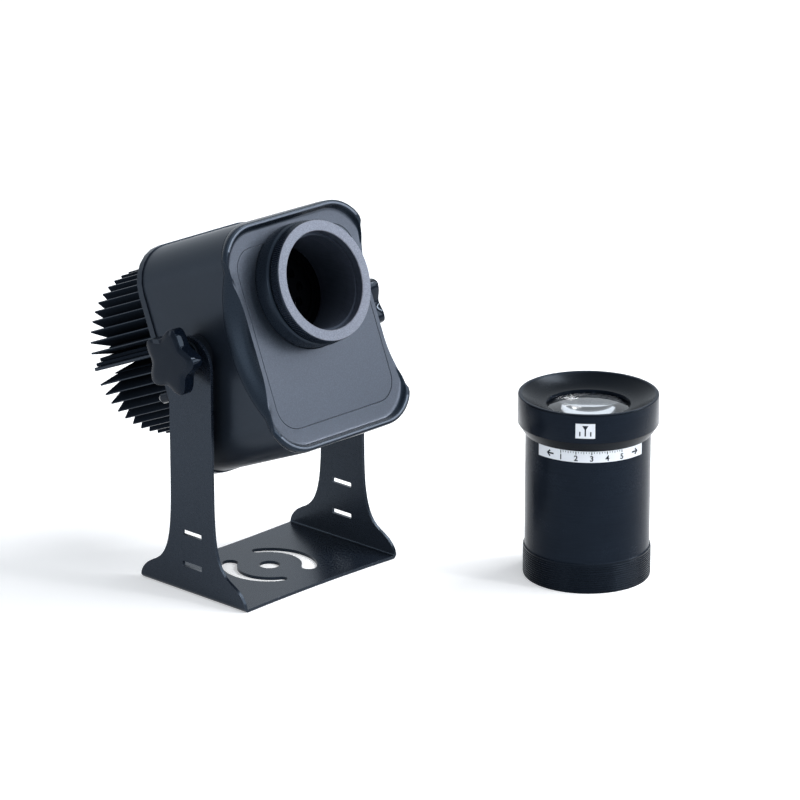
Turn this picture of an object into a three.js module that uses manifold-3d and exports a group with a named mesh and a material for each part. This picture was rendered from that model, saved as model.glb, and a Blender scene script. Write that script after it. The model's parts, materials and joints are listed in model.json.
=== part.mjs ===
// Gobo projector: a lamp head tilting in a bent-plate yoke, and its lens barrel standing beside it.
// Millimetres, +Z up, the projector faces -Y. Angles are in degrees at the top and turned to radians below.
import * as THREE from 'three';
import { mergeVertices } from 'three/addons/utils/BufferGeometryUtils.js';
import Module from 'manifold-3d';

const wasm = await Module();
wasm.setup();

// Clearance between separate pieces, and how far a cutting tool runs past what it cuts
const GAP = 0.3;
const OVERRUN = 2;

// Lamp housing; heights in the head count up from the tilt pivot
const HOUSING_WIDTH = 114;
const HOUSING_HEIGHT = 142;
const HOUSING_CORNER = 25;
const HOUSING_DROP = 3.5;
const HOUSING_WALL = 2.2;
const SHELL_BACK = 32.4;
const SHELL_FRONT = 40;
const SEAL_THICKNESS = 1;
const REAR_PLATE_THICKNESS = 4.4;
const REAR_RIM = 0.9;
const BOSS_RADIUS = 4;
const BOSS_LENGTH = 18;
const SCREW_RADIUS = 1.5;
const SCREW_HEAD_RADIUS = 2.9;
const SCREW_HEAD_HEIGHT = 2.2;
const SCREW_LENGTH = 16;

// Tilt pivot, knobs and their hardware
const PIVOT_HEIGHT = 153;
const TILT = 22.24;
const STUD_RADIUS = 4;
const SPACER_RADIUS = 11.3;
const SPACER_LENGTH = 6.4;
const WASHER_RADIUS = 9.6;
const WASHER_THICKNESS = 1.5;
const KNOB_REACH = 17.8;
const KNOB_RADIUS = 20.9;
const KNOB_VALLEY = 3.9;
const KNOB_THICKNESS = 9.4;
const KNOB_HUB_RADIUS = 8.8;
const KNOB_EDGE = 1.3;
const KNOB_LOBES = 5;
const KNOB_TURN = 20.3;
const INSERT_RADIUS = 8;
const INSERT_LENGTH = 8.5;

// Yoke: one bent plate, wide enough for the housing and its two spacers
const PLATE = 2;
const BASE_WIDTH = HOUSING_WIDTH + 2 * (SPACER_LENGTH + 2 * GAP + PLATE);
const BASE_DEPTH = 91;
const BASE_WAIST = 2;
const BEND_RADIUS = 3;
const ARM_WIDTH = 36.6;
const ARM_OVER_PIVOT = 12.2;
const ARM_HEIGHT = PIVOT_HEIGHT + ARM_OVER_PIVOT;
const SHOULDER_HEIGHT = 15.8;
const SHOULDER_RADIUS = 12;
const ARM_FILLET = 20.5;
const ARM_SLOT_LENGTH = 16.1;
const ARM_SLOT_WIDTH = 3.2;
const ARM_SLOT_HEIGHTS = [18.7, 39];
const CENTRE_HOLE_RADIUS = 6.5;
const ARC_SLOT_RADIUS = 29.4;
const ARC_SLOT_WIDE = 9.6;
const ARC_SLOT_NARROW = 4.8;
const ARC_SLOT_WIDE_ANGLE = -54;
const ARC_SLOT_NARROW_ANGLE = 62;

// Front bezel with its raised lip and scooped sides; forward places build up from the shell
const LIP_DEPTH = 6.8;
const LIP_FRONT = SHELL_FRONT + LIP_DEPTH;
const LIP_FLARE = 4;
const LIP_WIDTH = 2.6;
const LIP_ROUND = 1.4;
const FACE_RECESS = 3.8;
const FACE_FRONT = LIP_FRONT - FACE_RECESS;
const FACE_INSET = 7.6;
const FACE_THICKNESS = 4;
const SPIGOT_WALL = 3.2;
const SCOOP_LENGTH = 16.6;
const SCOOP_START = FACE_FRONT - SCOOP_LENGTH;
const SCOOP_RADIUS = 81;
const SCOOP_DEPTH = 4.8;
const COVER_SIDE_MARGIN = 7.8;
const COVER_END_MARGIN = 14.9;
const COVER_CORNER = 15;
const COVER_THICKNESS = 1.6;

// Optical axis, below the top of the housing
const AXIS_BELOW_TOP = 46.1;
const OPTIC_HEIGHT = HOUSING_HEIGHT / 2 - HOUSING_DROP - AXIS_BELOW_TOP;

// Nose: liner tube, knurled ring round it, collar round the ring's thread
const LINER_RADIUS = 30.4;
const LINER_WALL = 1.8;
const LINER_LENGTH = 42.9;
const NOSE_LIP = 0.2;
const NOSE_BORE_RADIUS = LINER_RADIUS - NOSE_LIP;
const NOSE_WALL = 7;
const NOSE_RING_RADIUS = NOSE_BORE_RADIUS + NOSE_WALL;
const NOSE_GROOVE = 1.5;
const NOSE_THREAD_WALL = 2.7;
const NOSE_THREAD_LENGTH = 5.5;
const NOSE_CHAMFER = 0.6;
const KNURL_COUNT = 72;
const KNURL_DEPTH = 0.45;
const KNURL_LENGTH = 4.3;
const COLLAR_MARGIN = 1.1;
const COLLAR_RADIUS = NOSE_RING_RADIUS + COLLAR_MARGIN;
const COLLAR_NECK_DROP = 1.5;
const COLLAR_NECK_RADIUS = COLLAR_RADIUS - COLLAR_NECK_DROP;
const COLLAR_RISE = 6.4;
const COLLAR_STEP = FACE_FRONT + COLLAR_RISE;
const COLLAR_NECK_LENGTH = 6.1;
const COLLAR_FRONT = COLLAR_STEP + COLLAR_NECK_LENGTH;
const NOSE_RISE = 6.6;
const NOSE_FRONT = COLLAR_FRONT + NOSE_RISE;

// Gobo in its holder, light source and condenser behind it
const GOBO_CLEARANCE = 1.3;
const GOBO_RIM = 3.3;
const GOBO_HOLDER_RADIUS = LINER_RADIUS - LINER_WALL - GOBO_CLEARANCE;
const GOBO_RADIUS = GOBO_HOLDER_RADIUS - GOBO_RIM;
const GOBO_SETBACK = 8;
const GOBO_LEDGE = 4;
const GOBO_HOLDER_LENGTH = 5;
const GOBO_THICKNESS = 0.8;
const GOBO_HOLES = 8;
const GOBO_CLIP_WIDTH = 3;
const CONDENSER_EDGE = 2.5;
const CONDENSER_BULGE = 5;
const CONDENSER_LEDGE = 2;
const CONE_WALL = 2;
const CONE_CLEARANCE = 2;
const EMITTER_RADIUS = 5.5;
const EMITTER_HEIGHT = 3.8;
const LED_BOARD_RADIUS = 12;
const BOARD_THICKNESS = 1.6;

// Heat sink, its axis below the optical axis
const SINK_MARGIN = 4.8;
const SINK_RADIUS = HOUSING_WIDTH / 2 - SINK_MARGIN;
const SINK_OFFSET = 16;
const SINK_HEIGHT = OPTIC_HEIGHT - SINK_OFFSET;
const SINK_CORE_RADIUS = 18;
const SINK_BASE_RADIUS = 29;
const SINK_BASE_RISE = 2;
const SINK_LENGTH = 65.8;
const FIN_COUNT = 48;
const FIN_THICKNESS = 1.3;

// Driver board in the bottom of the housing
const DRIVER_SIDE_MARGIN = 19;
const DRIVER_BACK_MARGIN = 8;
const DRIVER_FRONT_MARGIN = 9.4;
const DRIVER_LEVEL = 20;
const MODULE_MARGIN = 8;
const MODULE_HEIGHT = 17;
const STANDOFF_RADIUS = 3;

// Cable gland in the rear plate, beside the fins and below their axis
const GLAND_RADIUS = 4.6;
const GLAND_LENGTH = 13;
const GLAND_SIDE_MARGIN = 5.6;
const GLAND_CLEARANCE = 1.2;

// Lens barrel: its rear sleeve slips over the nose ring
const LENS_X = 129.9;
const LENS_Y = -146.2;
const LENS_HEIGHT = 116.2;
const SLEEVE_WALL = 1.5;
const SLEEVE_RADIUS = NOSE_RING_RADIUS + GAP + SLEEVE_WALL;
const SLEEVE_HEIGHT = 19;
const SLEEVE_FLOOR = 1;
const SLEEVE_RIDGES = 5;
const SLEEVE_RIDGE_DEPTH = 0.6;
const TUBE_STEP = 1.4;
const LENS_TUBE_RADIUS = SLEEVE_RADIUS - TUBE_STEP;
const LENS_TUBE_WALL = 3.1;
const HOOD_OVERHANG = 5.5;
const HOOD_RADIUS = LENS_TUBE_RADIUS + HOOD_OVERHANG;
const HOOD_RIM_HEIGHT = 17;
const HOOD_CHAMFER_HEIGHT = 7.5;
const HOOD_EDGE = 1;
const HOOD_FUNNEL_DEPTH = 6.6;
const HOOD_LAND = 2;
const HOOD_MARGIN = 11.8;
const HOOD_OPENING_RADIUS = LENS_TUBE_RADIUS - HOOD_MARGIN;
const GLASS_SEAT = 2.2;
const FRONT_GLASS_RADIUS = HOOD_OPENING_RADIUS + GLASS_SEAT;
const GLASS_EDGE = 2.6;
const GLASS_BULGE = 2.8;
const LENS_RING_HEIGHT = 3.6;
const LENS_RING_WIDTH = 2;

// Mesh fineness, counts of segments
const FINE = 48;
const COARSE = 24;
const CORNER_STEPS = 6;

const rad = THREE.MathUtils.degToRad;

// Geometry and solids
function toSolid(geometry) {
  const bare = geometry.clone();
  bare.deleteAttribute('normal');
  bare.deleteAttribute('uv');
  const merged = mergeVertices(bare, 1e-4);
  const source = merged.index.array;
  const faces = [];
  for (let i = 0; i < source.length; i += 3) {
    const [a, b, c] = [source[i], source[i + 1], source[i + 2]];
    if (a !== b && b !== c && c !== a) faces.push(a, b, c);
  }
  return new wasm.Manifold(new wasm.Mesh({
    numProp: 3,
    vertProperties: new Float32Array(merged.attributes.position.array),
    triVerts: new Uint32Array(faces),
  }));
}

function toGeometry(solid) {
  const mesh = solid.getMesh();
  const geometry = new THREE.BufferGeometry();
  geometry.setAttribute('position', new THREE.BufferAttribute(new Float32Array(mesh.vertProperties), 3));
  geometry.setIndex(new THREE.BufferAttribute(new Uint32Array(mesh.triVerts), 1));
  geometry.computeVertexNormals();
  return geometry;
}

function join(first, ...others) {
  return others.reduce((solid, other) => solid.add(toSolid(other)), toSolid(first));
}

function cut(solid, ...tools) {
  return tools.reduce((left, tool) => left.subtract(toSolid(tool)), solid);
}

// A ring or disc turned about the Y axis from [radius, position] pairs that close on themselves
function turned(pairs, segments = COARSE) {
  const points = pairs.map(([r, y]) => new THREE.Vector2(r, y));
  points.push(points[0].clone());
  return new THREE.LatheGeometry(points, segments);
}

function ringPairs(inner, outer, from, to) {
  return [[inner, from], [outer, from], [outer, to], [inner, to]];
}

// Turned pieces of the lamp head: a position counts forward, which is -Y in the head
function turnedForward(pairs, segments = COARSE) {
  return turned([...pairs].reverse().map(([r, forward]) => [r, -forward]), segments);
}

// Turned pieces of the standing lens: a position counts up
function turnedUpright(pairs, segments = COARSE) {
  return turned(pairs, segments).rotateX(Math.PI / 2);
}

function roundedRect(width, height, corner, rise = 0) {
  const points = [];
  const centres = [[1, 1, 0], [-1, 1, 90], [-1, -1, 180], [1, -1, 270]];
  for (const [sx, sy, start] of centres) {
    for (let i = 0; i <= CORNER_STEPS; i++) {
      const angle = rad(start + 90 * i / CORNER_STEPS);
      points.push(new THREE.Vector2(
        sx * (width / 2 - corner) + corner * Math.cos(angle),
        sy * (height / 2 - corner) + corner * Math.sin(angle) + rise,
      ));
    }
  }
  return points;
}

function circle(radius, segments = COARSE, x = 0, y = 0) {
  return Array.from({ length: segments }, (_, i) => {
    const angle = 2 * Math.PI * i / segments;
    return new THREE.Vector2(x + radius * Math.cos(angle), y + radius * Math.sin(angle));
  });
}

function block(outline, depth, holes = []) {
  const shape = new THREE.Shape(outline);
  shape.holes = holes.map((hole) => new THREE.Path(hole));
  return new THREE.ExtrudeGeometry(shape, { depth, bevelEnabled: false });
}

// A block drawn in X and up, reaching forward (-Y) from one position to another
function blockForward(outline, from, to, holes = []) {
  return block(outline, to - from, holes).rotateX(Math.PI / 2).translate(0, -from, 0);
}

// A block drawn in Y and up, reaching along X from one position to another
const acrossTurn = new THREE.Matrix4().makeBasis(
  new THREE.Vector3(0, 1, 0), new THREE.Vector3(0, 0, 1), new THREE.Vector3(1, 0, 0));
function blockAcross(outline, from, to) {
  return block(outline, to - from).applyMatrix4(acrossTurn).translate(from, 0, 0);
}

// A skin through outlines of equal point counts, each at its own forward position, closed at both ends
function loftForward(sections) {
  const count = sections[0].outline.length;
  const positions = sections.flatMap(({ outline, at }) => outline.flatMap((p) => [p.x, -at, p.y]));
  const faces = [];
  for (let s = 0; s + 1 < sections.length; s++) {
    for (let i = 0; i < count; i++) {
      const [a, b] = [s * count + i, s * count + (i + 1) % count];
      faces.push(a, b, b + count, a, b + count, a + count);
    }
  }
  const last = (sections.length - 1) * count;
  for (const [a, b, c] of THREE.ShapeUtils.triangulateShape(sections[0].outline, [])) faces.push(a, c, b);
  for (const [a, b, c] of THREE.ShapeUtils.triangulateShape(sections.at(-1).outline, [])) {
    faces.push(last + a, last + b, last + c);
  }
  const geometry = new THREE.BufferGeometry();
  geometry.setAttribute('position', new THREE.Float32BufferAttribute(positions, 3));
  geometry.setIndex(faces);
  return geometry;
}

function paint(color, roughness, metalness = 0) {
  return new THREE.MeshStandardMaterial({ color, roughness, metalness });
}

const powderCoat = paint(0x2b3038, 0.55, 0.2);
const castCoat = paint(0x474b55, 0.6, 0.2);
const glossPlastic = paint(0x0b0c10, 0.2);
const mattePlastic = paint(0x15161a, 0.7);
const rubber = paint(0x101114, 0.85);
const steel = paint(0x9a9ca0, 0.35, 1);
const blackMetal = paint(0x16181d, 0.45, 0.6);
const glass = paint(0x2a3440, 0.05);
const boardGreen = paint(0x1f4a33, 0.5);
const boardWhite = paint(0xd8d8d2, 0.5);
const phosphor = paint(0xd9b13a, 0.4);

const projector = new THREE.Group();
const head = new THREE.Group();
head.position.set(0, 0, PIVOT_HEIGHT);
head.rotation.x = -rad(TILT);
const optics = new THREE.Group();
optics.position.set(0, 0, OPTIC_HEIGHT);
const lens = new THREE.Group();
lens.position.set(LENS_X, LENS_Y, 0);
projector.add(head, lens);
head.add(optics);

function place(parent, name, shape, material) {
  const geometry = shape.isBufferGeometry ? toGeometry(toSolid(shape)) : toGeometry(shape);
  const mesh = new THREE.Mesh(geometry, material);
  mesh.name = name;
  parent.add(mesh);
  return mesh;
}

// Yoke: the U of the bent plate, trimmed by its side and plan outlines, then pierced
const halfWidth = BASE_WIDTH / 2;
const halfDepth = BASE_DEPTH / 2;
const armRadius = ARM_WIDTH / 2;

function arcPoints(cx, cy, radius, from, to, steps = CORNER_STEPS) {
  return Array.from({ length: steps + 1 }, (_, i) => {
    const angle = rad(from + (to - from) * i / steps);
    return new THREE.Vector2(cx + radius * Math.cos(angle), cy + radius * Math.sin(angle));
  });
}

const bendX = halfWidth - BEND_RADIUS;
const uSection = [
  new THREE.Vector2(-halfWidth, ARM_HEIGHT),
  ...arcPoints(-bendX, BEND_RADIUS, BEND_RADIUS, 180, 270),
  ...arcPoints(bendX, BEND_RADIUS, BEND_RADIUS, 270, 360),
  new THREE.Vector2(halfWidth, ARM_HEIGHT),
  new THREE.Vector2(halfWidth - PLATE, ARM_HEIGHT),
  ...arcPoints(bendX, BEND_RADIUS, BEND_RADIUS - PLATE, 360, 270),
  ...arcPoints(-bendX, BEND_RADIUS, BEND_RADIUS - PLATE, 270, 180),
  new THREE.Vector2(-halfWidth + PLATE, ARM_HEIGHT),
];

const shoulderY = halfDepth - SHOULDER_RADIUS;
const filletY = armRadius + ARM_FILLET;
const armEnd = ARM_HEIGHT - armRadius;
const halfProfile = [
  new THREE.Vector2(halfDepth, 0),
  ...arcPoints(shoulderY, SHOULDER_HEIGHT - SHOULDER_RADIUS, SHOULDER_RADIUS, 0, 90),
  ...arcPoints(filletY, SHOULDER_HEIGHT + ARM_FILLET, ARM_FILLET, 270, 180)
    .filter((p) => p.x < shoulderY),
  ...arcPoints(0, armEnd, armRadius, 0, 90, 2 * CORNER_STEPS),
];
const sideProfile = [
  ...halfProfile,
  ...halfProfile.slice(0, -1).reverse().map((p) => new THREE.Vector2(-p.x, p.y)),
];

const waistSteps = 2 * CORNER_STEPS;
const frontEdge = Array.from({ length: waistSteps + 1 }, (_, i) => {
  const along = 2 * i / waistSteps - 1;
  return new THREE.Vector2(halfWidth * along, -halfDepth + BASE_WAIST * (1 - along * along));
});
const planOutline = [...frontEdge, ...frontEdge.map((p) => new THREE.Vector2(-p.x, -p.y))];

function taperedSlot(turn) {
  const outer = [];
  const inner = [];
  const steps = 2 * CORNER_STEPS;
  for (let i = 0; i <= steps; i++) {
    const part = i / steps;
    const angle = rad(turn + ARC_SLOT_WIDE_ANGLE + (ARC_SLOT_NARROW_ANGLE - ARC_SLOT_WIDE_ANGLE) * part);
    const width = ARC_SLOT_WIDE + (ARC_SLOT_NARROW - ARC_SLOT_WIDE) * part;
    const towards = new THREE.Vector2(Math.cos(angle), Math.sin(angle));
    outer.push(towards.clone().multiplyScalar(ARC_SLOT_RADIUS));
    inner.unshift(towards.clone().multiplyScalar(ARC_SLOT_RADIUS - width));
  }
  const endCap = (width, at, start) => arcPoints(
    (ARC_SLOT_RADIUS - width / 2) * Math.cos(rad(turn + at)),
    (ARC_SLOT_RADIUS - width / 2) * Math.sin(rad(turn + at)),
    width / 2, turn + at + start, turn + at + start + 180).slice(1, -1);
  return [
    ...outer,
    ...endCap(ARC_SLOT_NARROW, ARC_SLOT_NARROW_ANGLE, 0),
    ...inner,
    ...endCap(ARC_SLOT_WIDE, ARC_SLOT_WIDE_ANGLE, 180),
  ];
}

function stadium(length, width, y, z) {
  const reach = (length - width) / 2;
  return [
    ...arcPoints(y + reach, z, width / 2, -90, 90),
    ...arcPoints(y - reach, z, width / 2, 90, 270),
  ];
}

const baseCut = (outline) => block(outline, PLATE + 2 * OVERRUN).translate(0, 0, -OVERRUN);
const uBlock = toSolid(blockForward(uSection, -halfDepth, halfDepth));
const sideBlock = toSolid(blockAcross(sideProfile, -BASE_WIDTH, BASE_WIDTH));
const planBlock = toSolid(block(planOutline, ARM_HEIGHT));
const yokeSolid = cut(
  uBlock.intersect(sideBlock).intersect(planBlock),
  baseCut(circle(CENTRE_HOLE_RADIUS)),
  baseCut(taperedSlot(0)),
  baseCut(taperedSlot(180)),
  ...ARM_SLOT_HEIGHTS.map((z) => blockAcross(stadium(ARM_SLOT_LENGTH, ARM_SLOT_WIDTH, 0, z),
    -BASE_WIDTH, BASE_WIDTH)),
  blockAcross(circle(STUD_RADIUS + GAP, COARSE, 0, PIVOT_HEIGHT), -BASE_WIDTH, BASE_WIDTH),
);
place(projector, 'yoke', yokeSolid, powderCoat);

// Knob, washer, spacer, stud and threaded insert on each side of the pivot
const armInner = halfWidth - PLATE;
const shellSide = HOUSING_WIDTH / 2;
const shellInner = shellSide - HOUSING_WALL;
const washerFrom = halfWidth + GAP;
const hubFrom = washerFrom + WASHER_THICKNESS + GAP;
const knobFrom = halfWidth + KNOB_REACH - KNOB_THICKNESS;
const studHole = STUD_RADIUS + GAP;
const studDepth = KNOB_THICKNESS / 2;

function star() {
  const steps = 10 * KNOB_LOBES;
  return Array.from({ length: steps }, (_, i) => {
    const angle = 2 * Math.PI * i / steps;
    const swing = (1 - Math.cos(KNOB_LOBES * angle)) / 2;
    const radius = KNOB_RADIUS - KNOB_EDGE - KNOB_VALLEY * Math.pow(swing, 1.3);
    const turn = angle + rad(KNOB_TURN);
    return new THREE.Vector2(radius * Math.cos(turn), radius * Math.sin(turn));
  });
}

const pivotDisc = (radius, from, to) => blockAcross(circle(radius), from, to);

const starBody = new THREE.ExtrudeGeometry(new THREE.Shape(star()), {
  depth: KNOB_THICKNESS - 2 * KNOB_EDGE,
  bevelThickness: KNOB_EDGE, bevelSize: KNOB_EDGE, bevelSegments: 2, steps: 1,
}).applyMatrix4(acrossTurn).translate(knobFrom + KNOB_EDGE, 0, 0);
const knobSolid = cut(
  join(starBody, pivotDisc(KNOB_HUB_RADIUS, hubFrom, knobFrom + KNOB_THICKNESS / 2)),
  pivotDisc(studHole, hubFrom - OVERRUN, knobFrom + studDepth + GAP),
);
const bored = (outer, from, to) => cut(
  toSolid(pivotDisc(outer, from, to)), pivotDisc(studHole, from - OVERRUN, to + OVERRUN));
const insertFrom = shellInner - GAP - INSERT_LENGTH;
const pivotPieces = [
  ['knob', knobSolid, glossPlastic],
  ['stud', toSolid(pivotDisc(STUD_RADIUS, insertFrom, knobFrom + studDepth)), steel],
  ['washer', bored(WASHER_RADIUS, washerFrom, washerFrom + WASHER_THICKNESS), steel],
  ['spacer', bored(SPACER_RADIUS, shellSide + GAP, armInner - GAP), mattePlastic],
  ['pivot_insert', bored(INSERT_RADIUS, insertFrom, shellInner - GAP), steel],
];
for (const [name, solid, material] of pivotPieces) {
  const right = toGeometry(solid);
  for (const [side, turn] of [['left', Math.PI], ['right', 0]]) {
    const mesh = new THREE.Mesh(right.clone(), material);
    mesh.name = `${name}_${side}`;
    mesh.rotation.z = turn;
    mesh.position.z = PIVOT_HEIGHT;
    projector.add(mesh);
  }
}

// Housing shell with corner bosses, side holes and the two side scoops
const shellOutline = roundedRect(HOUSING_WIDTH, HOUSING_HEIGHT, HOUSING_CORNER, -HOUSING_DROP);
function inset(amount, rise = -HOUSING_DROP) {
  return roundedRect(HOUSING_WIDTH - 2 * amount, HOUSING_HEIGHT - 2 * amount,
    HOUSING_CORNER - amount, rise);
}
const bossReach = (HOUSING_CORNER - HOUSING_WALL - BOSS_RADIUS / 2) * Math.SQRT1_2;
const bossX = shellSide - HOUSING_CORNER + bossReach;
const bossUp = HOUSING_HEIGHT / 2 - HOUSING_CORNER + bossReach;
const corners = [[-1, 1], [1, 1], [1, -1], [-1, -1]]
  .map(([sx, sz]) => [sx * bossX, sz * bossUp - HOUSING_DROP]);

// The scoop is a dished disc about the X axis; its outline gives [distance from the axis, X]
const scoopAxis = SCOOP_START + SCOOP_RADIUS;
const scoopFloor = shellSide - SCOOP_DEPTH;
const scoopCurve = new THREE.QuadraticBezierCurve(
  new THREE.Vector2(scoopAxis - FACE_FRONT + GAP, scoopFloor),
  new THREE.Vector2(scoopAxis - SCOOP_START - 0.4 * SCOOP_LENGTH, shellSide - 0.8 * SCOOP_DEPTH),
  new THREE.Vector2(SCOOP_RADIUS, shellSide),
).getPoints(6);
const scoopEnd = scoopCurve.at(-1);
const scoopPairs = [
  [0, scoopFloor],
  ...scoopCurve.map((p) => [p.x, p.y]),
  [scoopEnd.x + 2 * SCOOP_DEPTH, shellSide + SCOOP_DEPTH],
  [scoopEnd.x + 2 * SCOOP_DEPTH, shellSide + 3 * SCOOP_DEPTH],
  [0, shellSide + 3 * SCOOP_DEPTH],
];
const scoopTool = (turn) => turned(scoopPairs, FINE + COARSE)
  .rotateZ(turn).translate(0, -scoopAxis, -HOUSING_DROP);
const scoops = [scoopTool(-Math.PI / 2), scoopTool(Math.PI / 2)];

const screwHole = SCREW_RADIUS + GAP;
const shellSolid = cut(
  join(
    blockForward(shellOutline, -SHELL_BACK, SHELL_FRONT, [inset(HOUSING_WALL)]),
    ...corners.map(([x, z]) => blockForward(circle(BOSS_RADIUS, COARSE / 2, x, z),
      -SHELL_BACK, -SHELL_BACK + BOSS_LENGTH)),
  ),
  ...corners.map(([x, z]) => blockForward(circle(screwHole, COARSE / 2, x, z),
    -SHELL_BACK - OVERRUN, -SHELL_BACK + BOSS_LENGTH - HOUSING_WALL)),
  blockAcross(circle(studHole), -BASE_WIDTH, BASE_WIDTH),
  ...scoops,
);
place(head, 'housing_shell', shellSolid, powderCoat);

// Front bezel: flared lip, recessed face, spigot into the shell, collar for the nose
function lipOutline(flare, drop = 0) {
  return roundedRect(HOUSING_WIDTH + 2 * flare, HOUSING_HEIGHT - 2 * drop,
    HOUSING_CORNER + flare / 2, -HOUSING_DROP);
}
const bezelBack = SHELL_FRONT + GAP;
const lipTop = LIP_FRONT - LIP_ROUND;
const bezelBody = loftForward([
  { at: bezelBack, outline: lipOutline(0) },
  { at: (bezelBack + lipTop) / 2, outline: lipOutline(0.75 * LIP_FLARE, 0.2 * LIP_ROUND) },
  { at: lipTop, outline: lipOutline(LIP_FLARE, 0.4 * LIP_ROUND) },
  { at: LIP_FRONT - 0.3 * LIP_ROUND, outline: lipOutline(LIP_FLARE - 0.4 * LIP_ROUND, 0.8 * LIP_ROUND) },
  { at: LIP_FRONT, outline: lipOutline(LIP_FLARE - LIP_ROUND, 1.4 * LIP_ROUND) },
]);
const lipInner = LIP_ROUND + LIP_WIDTH;
const recess = loftForward([
  { at: FACE_FRONT, outline: lipOutline(LIP_FLARE - FACE_INSET, FACE_INSET) },
  { at: FACE_FRONT + 0.4 * FACE_RECESS,
    outline: lipOutline(LIP_FLARE - 0.75 * FACE_INSET, 0.75 * FACE_INSET) },
  { at: LIP_FRONT, outline: lipOutline(LIP_FLARE - lipInner, lipInner) },
  { at: LIP_FRONT + OVERRUN, outline: lipOutline(LIP_FLARE - lipInner, lipInner) },
]);
const coverWidth = HOUSING_WIDTH - 2 * COVER_SIDE_MARGIN;
const coverHeight = HOUSING_HEIGHT - 2 * COVER_END_MARGIN;
const coverOutline = (slack) => roundedRect(coverWidth - 2 * slack, coverHeight - 2 * slack,
  COVER_CORNER - slack, -HOUSING_DROP);
const coverFront = FACE_FRONT;
const coverBack = FACE_FRONT - COVER_THICKNESS;
const spigotOuter = HOUSING_WALL + GAP;
const faceBack = FACE_FRONT - FACE_THICKNESS;
const spigotBack = SCOOP_START + GAP;
const threadRadius = LINER_RADIUS + GAP + NOSE_THREAD_WALL;
const counterbore = threadRadius + GAP;
const threadBack = COLLAR_FRONT + GAP - NOSE_THREAD_LENGTH;
const collarBack = faceBack + FACE_THICKNESS / 2;
const collar = turnedForward([
  [LINER_RADIUS - OVERRUN, collarBack], [COLLAR_RADIUS, collarBack],
  [COLLAR_RADIUS, COLLAR_STEP - GAP], [COLLAR_NECK_RADIUS, COLLAR_STEP + COLLAR_NECK_DROP],
  [COLLAR_NECK_RADIUS, COLLAR_FRONT], [LINER_RADIUS - OVERRUN, COLLAR_FRONT],
], FINE).translate(0, 0, OPTIC_HEIGHT);
const onAxis = (pairs, segments) => turnedForward(pairs, segments).translate(0, 0, OPTIC_HEIGHT);
const bezelSolid = cut(
  cut(
    join(bezelBody, blockForward(inset(spigotOuter), spigotBack, bezelBack + FACE_THICKNESS / 2)),
    blockForward(inset(spigotOuter + SPIGOT_WALL), -SHELL_FRONT, faceBack),
    recess,
    blockForward(coverOutline(0), coverBack - GAP, LIP_FRONT),
  ).add(toSolid(collar)),
  onAxis([[0, -SHELL_FRONT], [LINER_RADIUS + GAP, -SHELL_FRONT], [LINER_RADIUS + GAP, threadBack - GAP],
    [counterbore, threadBack - GAP], [counterbore, NOSE_FRONT], [0, NOSE_FRONT]], FINE),
  ...scoops,
);
place(head, 'front_bezel', bezelSolid, castCoat);

const coverSolid = cut(
  toSolid(blockForward(coverOutline(GAP), coverBack, coverFront)),
  onAxis([[0, faceBack], [COLLAR_RADIUS + GAP, faceBack],
    [COLLAR_RADIUS + GAP, LIP_FRONT], [0, LIP_FRONT]], FINE),
);
place(head, 'cover_plate', coverSolid, castCoat);

// Knurled nose ring, screwed into the collar
const knurlBack = NOSE_FRONT - KNURL_LENGTH - NOSE_CHAMFER;
const neckRadius = NOSE_RING_RADIUS - NOSE_GROOVE;
const knurlRoot = NOSE_RING_RADIUS - KNURL_DEPTH;
const ringBody = turnedForward([
  [LINER_RADIUS + GAP, threadBack], [threadRadius, threadBack],
  [threadRadius, COLLAR_FRONT + GAP], [neckRadius, COLLAR_FRONT + GAP],
  [neckRadius, knurlBack], [knurlRoot, knurlBack],
  [knurlRoot, NOSE_FRONT - NOSE_CHAMFER / 2], [knurlRoot - NOSE_CHAMFER / 2, NOSE_FRONT],
  [NOSE_BORE_RADIUS + NOSE_CHAMFER, NOSE_FRONT], [NOSE_BORE_RADIUS, NOSE_FRONT - NOSE_CHAMFER],
  [NOSE_BORE_RADIUS, knurlBack], [LINER_RADIUS + GAP, knurlBack],
], FINE);
const knurl = Array.from({ length: 2 * KNURL_COUNT }, (_, i) => {
  const angle = Math.PI * i / KNURL_COUNT;
  const radius = NOSE_RING_RADIUS - (i % 2) * KNURL_DEPTH;
  return new THREE.Vector2(radius * Math.cos(angle), radius * Math.sin(angle));
});
const ringSolid = join(ringBody, blockForward(knurl, knurlBack, knurlBack + KNURL_LENGTH,
  [circle((neckRadius + NOSE_BORE_RADIUS) / 2, COARSE)]));
place(optics, 'nose_ring', ringSolid, castCoat);

// Liner of the nose bore: the gobo sits on its inner ledge
const linerInner = LINER_RADIUS - LINER_WALL;
const linerFront = knurlBack - GAP;
const linerBack = linerFront - LINER_LENGTH;
const goboBack = linerBack + GOBO_SETBACK;
const ledge = goboBack - GAP;
const grooveAt = linerFront - 2 * LINER_WALL;
const threadPairs = [[linerInner, grooveAt], [linerInner + LINER_WALL / 3, grooveAt - LINER_WALL / 3],
  [linerInner, grooveAt - 2 * LINER_WALL / 3]];
place(optics, 'nose_liner', turnedForward([
  [GOBO_RADIUS, linerBack], [LINER_RADIUS, linerBack], [LINER_RADIUS, linerFront],
  [linerInner, linerFront], ...threadPairs, [linerInner, ledge], [GOBO_RADIUS, ledge],
], FINE), blackMetal);

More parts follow.
